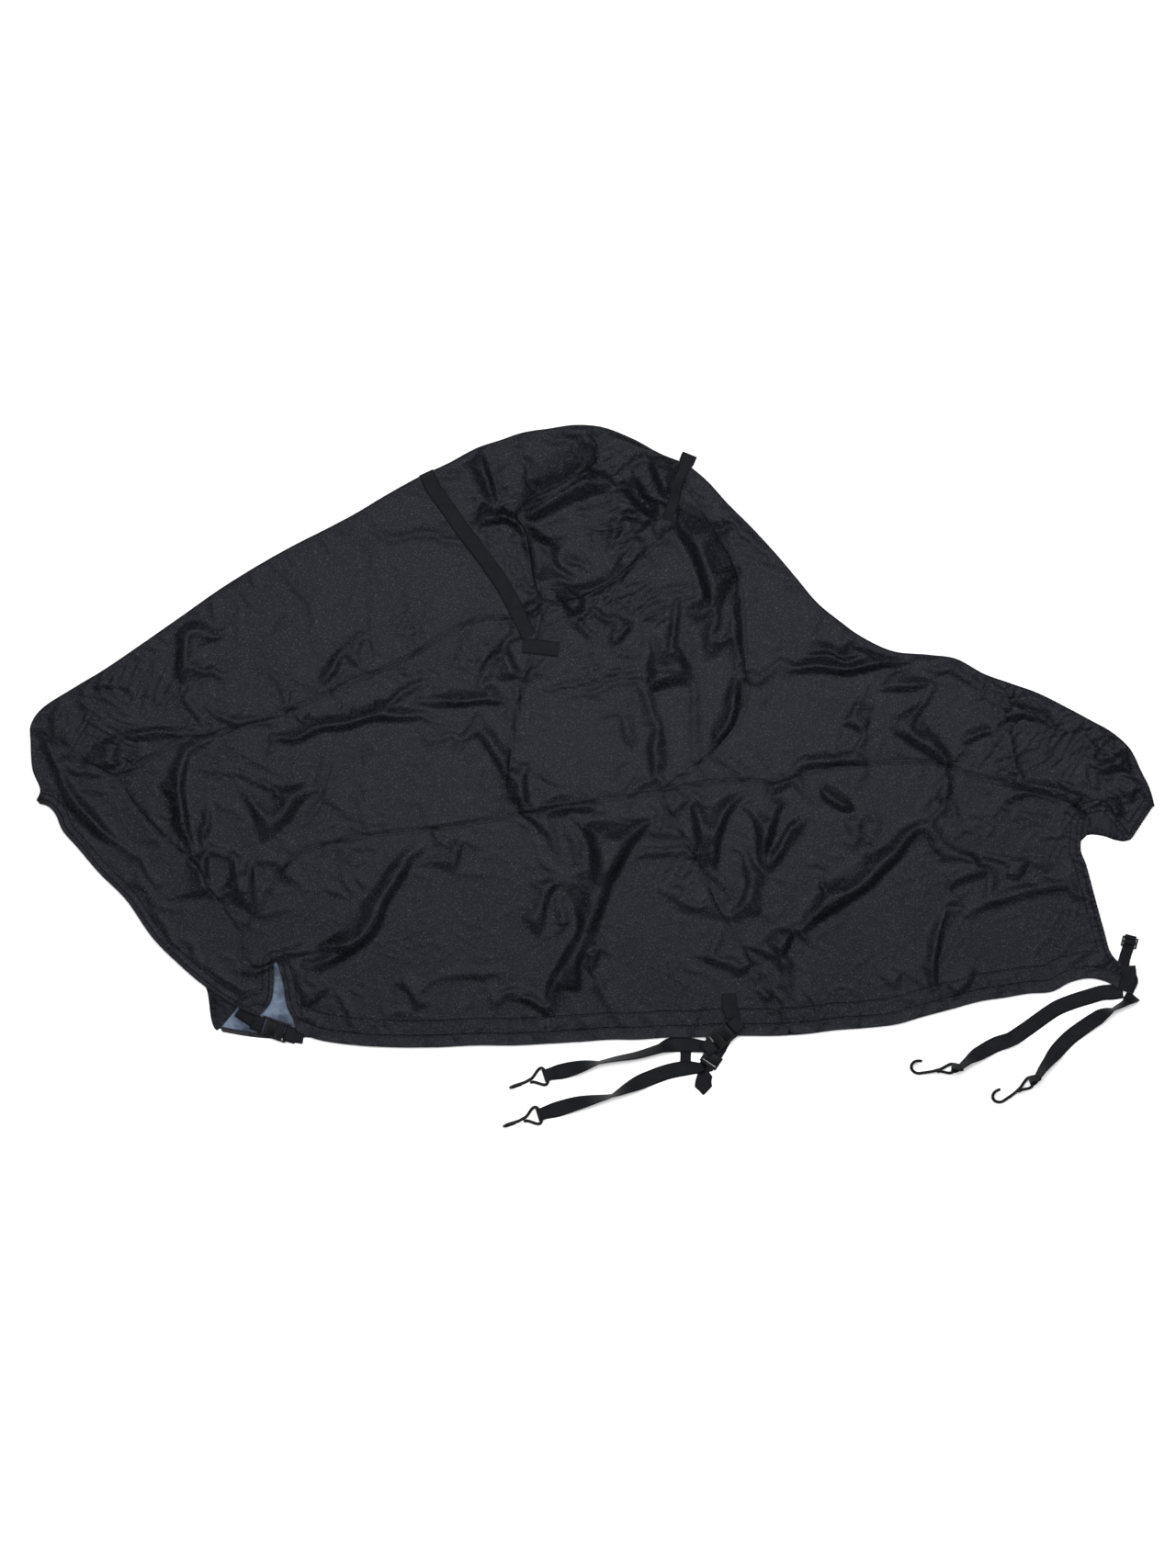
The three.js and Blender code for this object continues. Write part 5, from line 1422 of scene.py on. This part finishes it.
# %% Sizes and places of the fittings
WIRE, HOOK_BEND, LEAN, EYE_HALF = 8, 19, 1.4, 22.5
WIRE_ROUNDING = [0, 0.15, 0.6, 1.3, 2.3]
HOOK_EYE = [(45, 4.9), (35, 6.4), (12, 21.5), (5, 22.5), (0, 17), (0, -17), (5, -22.5), (12, -21.5),
            (36, -4.6), (46, -2.4), (57, 0)]
HOOKS = {"side_hook_near": ((-120, -784), 198, 0, 100), "side_hook_far": ((-136, -886), 197, 0, 100),
         "rear_hook_near": ((943, -763), 190, 65, 112), "rear_hook_far": ((1146, -797), 217, 65, 112)}
BUCKLE_HALF, SOCKET_REACH, PLUG_REACH, BUCKLE_THICK = 25, 42, 34, 8
END_BAR, SLOT, ARM, ARM_REACH, PART_GAP = 4, 8, 7, 22, 0.3
BUCKLES = {"side_buckle": ((338, -682), -140, 20), "front_buckle": ((-825, -664), -19, 5)}
SLIDER_THICK, SLIDER_BAR, WEAVE_TAIL = 4, 4, 5
THUMB_PLATE, GRIP_HIGH, SUNK, SHARP_TURN = 3.8, 0.7, 0.5, 0.6
BUCKLE_ROUND, SLIDER_ROUND = 1.4, 1.1
SLIDERS = {"side_slider": ((312, -742), -124, 4, 50, 36), "rear_slider": (REAR_SLIDER_MIDDLE, 76, 4, 42, 28)}


print("hooks, buckles, sliders:", len(HOOKS), len(BUCKLES), len(SLIDERS))


# %% Straps round their bars
def hook_placing(at, heading, roll, length):
    """The eye rests on the floor or on the webbing below its bar, the bend on the floor"""
    rise = math.sin(math.radians(roll)) * (EYE_HALF + LEAN) + WIRE / 2
    bar = max(rise, WIRE / 2 + CLEAR + WEB_THICK)
    low = WIRE / 2 + LEAN * math.sin(math.radians(roll))
    pitch = math.degrees(math.asin((bar - low) / (length - WIRE / 2 - HOOK_BEND)))
    return placing(at, bar, heading, pitch, roll)


def hook_loop(name):
    return loop_frames(hook_placing(*HOOKS[name]), WIRE / 2, EYE_WEB_WIDTH)


def buckle_loop(name, end):
    """Round the bar of a buckle's socket (end -1) or plug (end 1)"""
    at, heading, base = BUCKLES[name]
    reach = (PLUG_REACH if end > 0 else SOCKET_REACH) - END_BAR / 2
    way = math.radians(heading)
    bar = (at[0] + end * reach * math.cos(way), at[1] + end * reach * math.sin(way))
    matrix = placing(bar, base + BUCKLE_THICK / 2, heading + (180 if end > 0 else 0))
    return loop_frames(matrix, math.hypot(END_BAR, BUCKLE_THICK) / 2)


def slider_loop(name, end):
    at, heading, base, _, length = SLIDERS[name]
    reach, way = end * (length - SLIDER_BAR) / 2, math.radians(heading)
    bar = (at[0] + reach * math.cos(way), at[1] + reach * math.sin(way))
    matrix = placing(bar, base + SLIDER_THICK / 2, heading + (180 if end > 0 else 0))
    return loop_frames(matrix, math.hypot(SLIDER_THICK, SLIDER_BAR) / 2)


def slider_weave(name, width):
    """A strap's cut end: under one end bar, up over the middle bar, and out under the other end bar"""
    at, heading, base, _, length = SLIDERS[name]
    under, over = SLIDER_THICK / 2 + CLEAR + WEB_THICK / 2, SLIDER_THICK / 2 + CLEAR + WEB_THICK
    slot_middle, end = length / 4, length / 2 + WEAVE_TAIL
    path = [(-end, -under), (-length / 2, -under), (2 - length / 2 + SLIDER_BAR, -under + 0.3),
            (-slot_middle, 0), (-SLIDER_BAR / 2, over), (0, over + 0.2), (SLIDER_BAR / 2, over),
            (slot_middle, 0), (length / 2 - SLIDER_BAR - 1, 0.3 - under), (length / 2, -under), (end, -under)]
    line = smooth(path, 1.5)
    matrix = placing(at, base + SLIDER_THICK / 2, heading)
    points = placed(matrix, np.column_stack([line[:, 0], np.zeros(len(line)), line[:, 1]]))
    return points, np.tile(np.array(matrix)[:3, 1], (len(points), 1)), np.full(len(points), float(width))


print("frames through a slider:", len(slider_weave("rear_slider", WEB_WIDTH)[0]))

# %% [markdown]
# ## Bending the hooks
#
# A hook is steel wire with an eye bent flat and a bend turned up. A curve with a round bevel is made the same
# way: a path through a few points, with its own radius at each, so that the dipped ends close as round tips.
# The curve is then turned into a mesh, because every piece has to be a mesh in the end.


# %% Hooks
def finish_fitting(node, mesh, material):
    mesh.transform(Matrix.Diagonal((MM, MM, MM, 1)))
    mesh.transform(Matrix.Translation(Vector(SHIFT)))
    mesh.shade_smooth()
    piece = link_piece(node + "_fitting", mesh, [material])
    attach(piece, "root")
    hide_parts(node)
    return piece


def add_hook(node):
    at, heading, roll, length = HOOKS[node]
    stem_end = length - WIRE / 2 - HOOK_BEND
    bend = np.radians(np.arange(-80, 101, 15))
    path = [(x, y, 0) for x, y in HOOK_EYE] + [(stem_end - 6, 0, 0)]
    path += [(stem_end + HOOK_BEND * math.cos(t), 0, HOOK_BEND * (1 + math.sin(t))) for t in bend]
    path += [(stem_end - 14, 0, 2 * HOOK_BEND - 3)]
    line = smooth(placed(hook_placing(at, heading, roll, length), path), 2.0)
    run = run_along(line)
    rounding = np.array([*WIRE_ROUNDING, WIRE / 2])
    stops = np.concatenate([rounding, np.arange(WIRE / 2 + 2, run[-1] - WIRE / 2 - 1, 2.0),
                            run[-1] - rounding[::-1]])
    points = np.column_stack([np.interp(stops, run, line[:, k]) for k in range(3)])
    end = np.clip(np.minimum(stops, run[-1] - stops) / (WIRE / 2), 0, 1)
    curve = bpy.data.curves.new(node, "CURVE")
    curve.dimensions, curve.bevel_depth, curve.bevel_resolution, curve.use_fill_caps = "3D", WIRE / 2, 4, True
    spline = curve.splines.new("POLY")
    spline.points.add(len(points) - 1)
    weighted = np.column_stack([points, np.ones(len(points))])
    spline.points.foreach_set("co", weighted.astype(np.float32).ravel())
    spline.points.foreach_set("radius", np.sqrt(np.maximum(1 - (1 - end) ** 2, 0.01)).astype(np.float32))
    drawn = link_piece(node + "_drawn", curve, [])
    mesh = bpy.data.meshes.new_from_object(drawn)
    bpy.data.objects.remove(drawn)
    return finish_fitting(node, mesh, wire_coat)


for node in HOOKS:
    add_hook(node)
print("hooks made:", ", ".join(HOOKS))

# %% [markdown]
# ## Moulding the buckles and sliders
#
# Buckles and sliders are moulded plates with slots. A grid with a few lines gives the cells of a plate. A
# slot's cells are deleted, the rest is extruded to the plate's thickness, and each sharp edge gets a small
# round bevel, as a mould leaves it. That is less work than cutting slots with booleans, and no stray edges
# are left.


# %% Plates with slots
def add_plate(node, matrix, xs, ys, thick, open_cells, round_off, grips=()):
    """A moulded plate: cells between the named lines, some left open, extruded and rounded off"""
    shape = bmesh.new()
    bmesh.ops.create_grid(shape, x_segments=len(xs) - 1, y_segments=len(ys) - 1, size=1)
    for point in shape.verts:
        column = round((point.co.x + 1) / 2 * (len(xs) - 1))
        row = round((point.co.y + 1) / 2 * (len(ys) - 1))
        point.co = (xs[column], ys[row], 0)
    gone = [face for face in shape.faces if open_cells(face.calc_center_median())]
    bmesh.ops.delete(shape, geom=gone, context="FACES")
    raised = bmesh.ops.extrude_face_region(shape, geom=list(shape.faces))
    bmesh.ops.translate(shape, verts=[v for v in raised["geom"] if isinstance(v, bmesh.types.BMVert)],
                        vec=(0, 0, thick))
    for low, high, half, height in grips:
        made = bmesh.ops.create_cube(shape, size=1)["verts"]
        bmesh.ops.scale(shape, verts=made, vec=(high - low, 2 * half, height + SUNK))
        bmesh.ops.translate(shape, verts=made, vec=((low + high) / 2, 0, thick + (height - SUNK) / 2))
    bmesh.ops.recalc_face_normals(shape, faces=list(shape.faces))
    closed = [edge for edge in shape.edges if len(edge.link_faces) == 2]
    sharp = [edge for edge in closed if edge.calc_face_angle() > SHARP_TURN]
    bmesh.ops.bevel(shape, geom=sharp, offset=round_off, offset_type="OFFSET", affect="EDGES", segments=3,
                    profile=0.5, material=-1, clamp_overlap=True)
    mesh = bpy.data.meshes.new(node)
    shape.to_mesh(mesh)
    shape.free()
    mesh.transform(matrix)
    return finish_fitting(node, mesh, plastic)


def add_buckle(name):
    at, heading, base = BUCKLES[name]
    matrix = placing(at, base, heading)
    inner, wide = BUCKLE_HALF - ARM, BUCKLE_HALF - ARM + 3
    lines = [-BUCKLE_HALF, -wide, -inner, inner, wide, BUCKLE_HALF]
    low, slot = -SOCKET_REACH + END_BAR, -SOCKET_REACH + END_BAR + SLOT
    add_plate(name + "_socket", matrix, [-SOCKET_REACH, low, slot, -ARM_REACH - PART_GAP, -PART_GAP], lines,
              BUCKLE_THICK, lambda c: (low < c.x < slot and abs(c.y) < wide)
              or (c.x > -ARM_REACH - PART_GAP and abs(c.y) > inner), BUCKLE_ROUND,
              [(-ARM_REACH + 3 * k, -ARM_REACH + 3 * k + 1.6, inner - 5, GRIP_HIGH) for k in range(1, 6)])
    inner += PART_GAP
    lines = [-BUCKLE_HALF, -wide, -inner, inner, wide, BUCKLE_HALF]
    low, slot = PLUG_REACH - END_BAR - SLOT, PLUG_REACH - END_BAR
    add_plate(name + "_plug", matrix, [-ARM_REACH, 0, low, slot, PLUG_REACH], lines, BUCKLE_THICK,
              lambda c: (low < c.x < slot and abs(c.y) < wide) or (c.x < 0 and abs(c.y) < inner),
              BUCKLE_ROUND, [(5, 7, inner - 3, GRIP_HIGH), (12, 14, inner - 3, GRIP_HIGH)])


def add_slider(name):
    at, heading, base, width, length = SLIDERS[name]
    x, y, bar = length / 2, width / 2, SLIDER_BAR
    add_plate(name, placing(at, base, heading), [-x, bar - x, -bar / 2, bar / 2, x - bar, x],
              [-y, bar - y, y - bar, y], SLIDER_THICK,
              lambda c: abs(c.y) < y - bar and bar / 2 < abs(c.x) < x - bar, SLIDER_ROUND,
              [(1 - x, x - bar - 5, y - 1, THUMB_PLATE)] if name == "side_slider" else ())


for name in BUCKLES:
    add_buckle(name)
for name in SLIDERS:
    add_slider(name)
print("plates made:", ", ".join([*BUCKLES, *SLIDERS]))

# %% [markdown]
# ## The straps
#
# Three kinds: straps sewn flat on the cover, closures with a buckle or a slider, and tie-down straps that
# end in a hook. Each end goes round a bar and back over itself, where it is sewn down. At a hook's eye the
# webbing is drawn in a little.

# %% Routes of the straps
REAR_END_WIDTH, SIDE_END_WIDTH, EYE_WEB_WIDTH, SEWN_TAB_WIDTH = 30, 28, 32, 28
HOOD_STRAP = [(-430, 784), (-414, 750), (-378, 700), (-334, 636), (-274, 557), (-233, 497), (-190, 418),
              (-164, 362)]
HOOD_PATCH = [(-180, 338), (-134, 334), (-86, 328)]
WINDSHIELD_END = [(256, 838, 9, 0), (248, 818, 10.8, 0)]
WINDSHIELD_TAB = [(240, 796), (226, 765), (216, 722), (196, 666)]
SIDE_TAB = [(358, -569), (360, -605), (368, -630)]
SIDE_STRAP_NEAR = [(247, -703, 4, 0), (214, -703, 1, 12), (180, -712, 0, 58), (118, -730, 0, 66),
                   (67, -739, 0, 74), (19, -749, 0, 84), (-31, -761, 0, 40), (-84, -775, 0, 0)]
SIDE_NEAR_END = [(247, -698, 0.3, 0), (246, -720, 0.6, 0), (245, -748, 2.6, 0)]
SIDE_FAR_TAB = [(372, -645, 2.6, 0), (350, -680, 2.6, 0)]
SIDE_FAR_END = [(292, -835, 0, 0), (292, -822, 0, 0), (292, -800, 2, 0), (296, -782, 4, 0)]
SIDE_STRAP_FAR = [(250, -764, 0, 0), (197, -775, 0, 0), (137, -797, 0, 10), (98, -814, 0, 48),
                  (53, -835, 0, 84), (10, -845, 0, 62), (-40, -857, 0, 30), (-98, -875, 0, 0)]
REAR_CORNER = [(1398, -497), (1400, -530), (1392, -560)]
REAR_END = [(1384, -518, 3.6, 0), (1388, -500, 4, 0), (1390, -484, 5, 0), (1394, -470, 2, 0)]
REAR_STRAP_NEAR = [(1386, -562, 3.2, 0), (1362, -566, 3.2, 0), (1334, -568, 3.2, 0), (1298, -578, 2.6, 0),
                   (1255, -592, 0, 0), (1214, -609, 0, 0), (1130, -667, 0, 0), (1094, -689, 0, 25),
                   (1056, -703, 0, 8), (1010, -727, 0, 30), (982, -744, 3, 65)]
REAR_STRAP_FAR = [(1416, -575, 0, 20), (1394, -592, 0, 70), (1360, -610, 0, 85), (1325, -630, 0, 30),
                  (1250, -684, 0, 5), (1219, -715, 0, 12), (1194, -744, 0, 50), (1175, -767, 3, 65)]
FRONT_NOSE_TAB = [(-922, -612, 3.5, 0), (-898, -628, 3, 0)]
FRONT_SKIRT_TAB = [(-752, -682, 3.5, 0), (-772, -679, 3, 0)]
WEB_COLUMNS = 7
SEWN_REACH, PATCH_BOX, TAB_BOX, LOOP_BOX = 24, 94, 50, 40
POINT_REACH, POINT_WIDTHS = 22, [0.08, 1.15, 1]


print("the strap over the hood, mm:", round(run_along(np.array(HOOD_STRAP))[-1]))


# %% One strip of webbing
def ridge_turn(first, second):
    """The strap over the hood comes up round the ridge"""
    way = unit(np.subtract([*first, 0.0], [*second, 0.0]))
    radius = FOLD_RADIUS + 2 * CLEAR + WEB_THICK / 2
    turns = np.radians(np.arange(130, -1, -13))[:, None]
    rise = np.sin(turns) * way + np.cos(turns) * UP
    return (np.array([*first, FOLD_RADIUS]) + radius * rise, np.tile(np.cross(way, UP), (len(turns), 1)),
            np.full(len(turns), float(WEB_WIDTH)))


def add_strap(node, parts, ends=(), point=0):
    """
    One strip of webbing, in mm. The ends tell how far from its start it is sewn down, or from its end where
    they are under 0. The point tells how far its start is cut to a point.
    """
    points, side, width = (np.concatenate(group) for group in zip(*parts))
    across = np.linspace(-0.5, 0.5, WEB_COLUMNS)
    run = run_along(points)
    if point:
        width = width * np.interp(run, [0, point, 2 * point], POINT_WIDTHS)
    grid = points[:, None] + side[:, None] * (across[None, :, None] * width[:, None, None])
    cut = np.stack(np.broadcast_arrays(across[None] * WEB_WIDTH, run[:, None]), axis=-1)
    gap = np.full(cut.shape[:2], 1.0)
    for sewn in ends:
        from_end = np.abs((run[-1] if sewn < 0 else 0) - run)[:, None]
        inside_box = np.minimum(WEB_WIDTH / 2 - np.abs(cut[..., 0]),
                                np.minimum(from_end, abs(sewn) - from_end))
        gap = np.where(inside_box > 0, np.minimum(gap, inside_box * MM), gap)
    measures = {"seam_gap": gap, "seam_run": (cut[..., 0] + cut[..., 1]) * MM}
    piece = link_piece(node + "_webbing", cloth_mesh(node + "_webbing", grid, cut, measures), [webbing])
    thick = piece.modifiers.new("webbing thickness", "SOLIDIFY")
    thick.thickness, thick.offset = WEB_THICK * MM, 0
    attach(piece, "root")
    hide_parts(node)
    return piece


print("a strap is", WEB_WIDTH, "by", WEB_THICK, "mm")


# %% Sew them on
def past_first(frames):
    return tuple(part[1:] for part in frames)


add_strap("hood_strap", [ridge_turn(*HOOD_STRAP[:2]), past_first(laid_frames(HOOD_STRAP))],
          [-SEWN_REACH])
add_strap("hood_strap_patch", [laid_frames(HOOD_PATCH)], [PATCH_BOX])
add_strap("windshield_tab", [free_frames(WINDSHIELD_END), laid_frames(WINDSHIELD_TAB, SEWN_TAB_WIDTH)],
          [-SEWN_REACH])
add_strap("side_tab_near", [laid_frames(SIDE_TAB), buckle_loop("side_buckle", -1)], [TAB_BOX])
add_strap("side_strap_near", [other_way(buckle_loop("side_buckle", 1)), free_frames(SIDE_STRAP_NEAR),
                              hook_loop("side_hook_near")], [-SEWN_REACH])
add_strap("side_strap_near_end", [free_frames(SIDE_NEAR_END, SIDE_END_WIDTH)])
add_strap("side_tab_far", [free_frames(SIDE_FAR_TAB), slider_loop("side_slider", -1)])
add_strap("side_strap_far", [free_frames(SIDE_FAR_END), other_way(slider_loop("side_slider", 1), 2),
                             free_frames(SIDE_STRAP_FAR), hook_loop("side_hook_far")],
          [-SEWN_REACH], POINT_REACH)
add_strap("rear_corner_loop", [laid_frames(REAR_CORNER)], [LOOP_BOX])
add_strap("rear_end", [free_frames(REAR_END, REAR_END_WIDTH), slider_weave("rear_slider", REAR_END_WIDTH)])
for node, route, hook in (("rear_strap_near", REAR_STRAP_NEAR, "rear_hook_near"),
                          ("rear_strap_far", REAR_STRAP_FAR, "rear_hook_far")):
    add_strap(node, [free_frames(route), hook_loop(hook)], [-SEWN_REACH])
add_strap("front_tab_nose", [free_frames(FRONT_NOSE_TAB), buckle_loop("front_buckle", -1)])
add_strap("front_tab_skirt", [free_frames(FRONT_SKIRT_TAB), buckle_loop("front_buckle", 1)])
print("straps made")
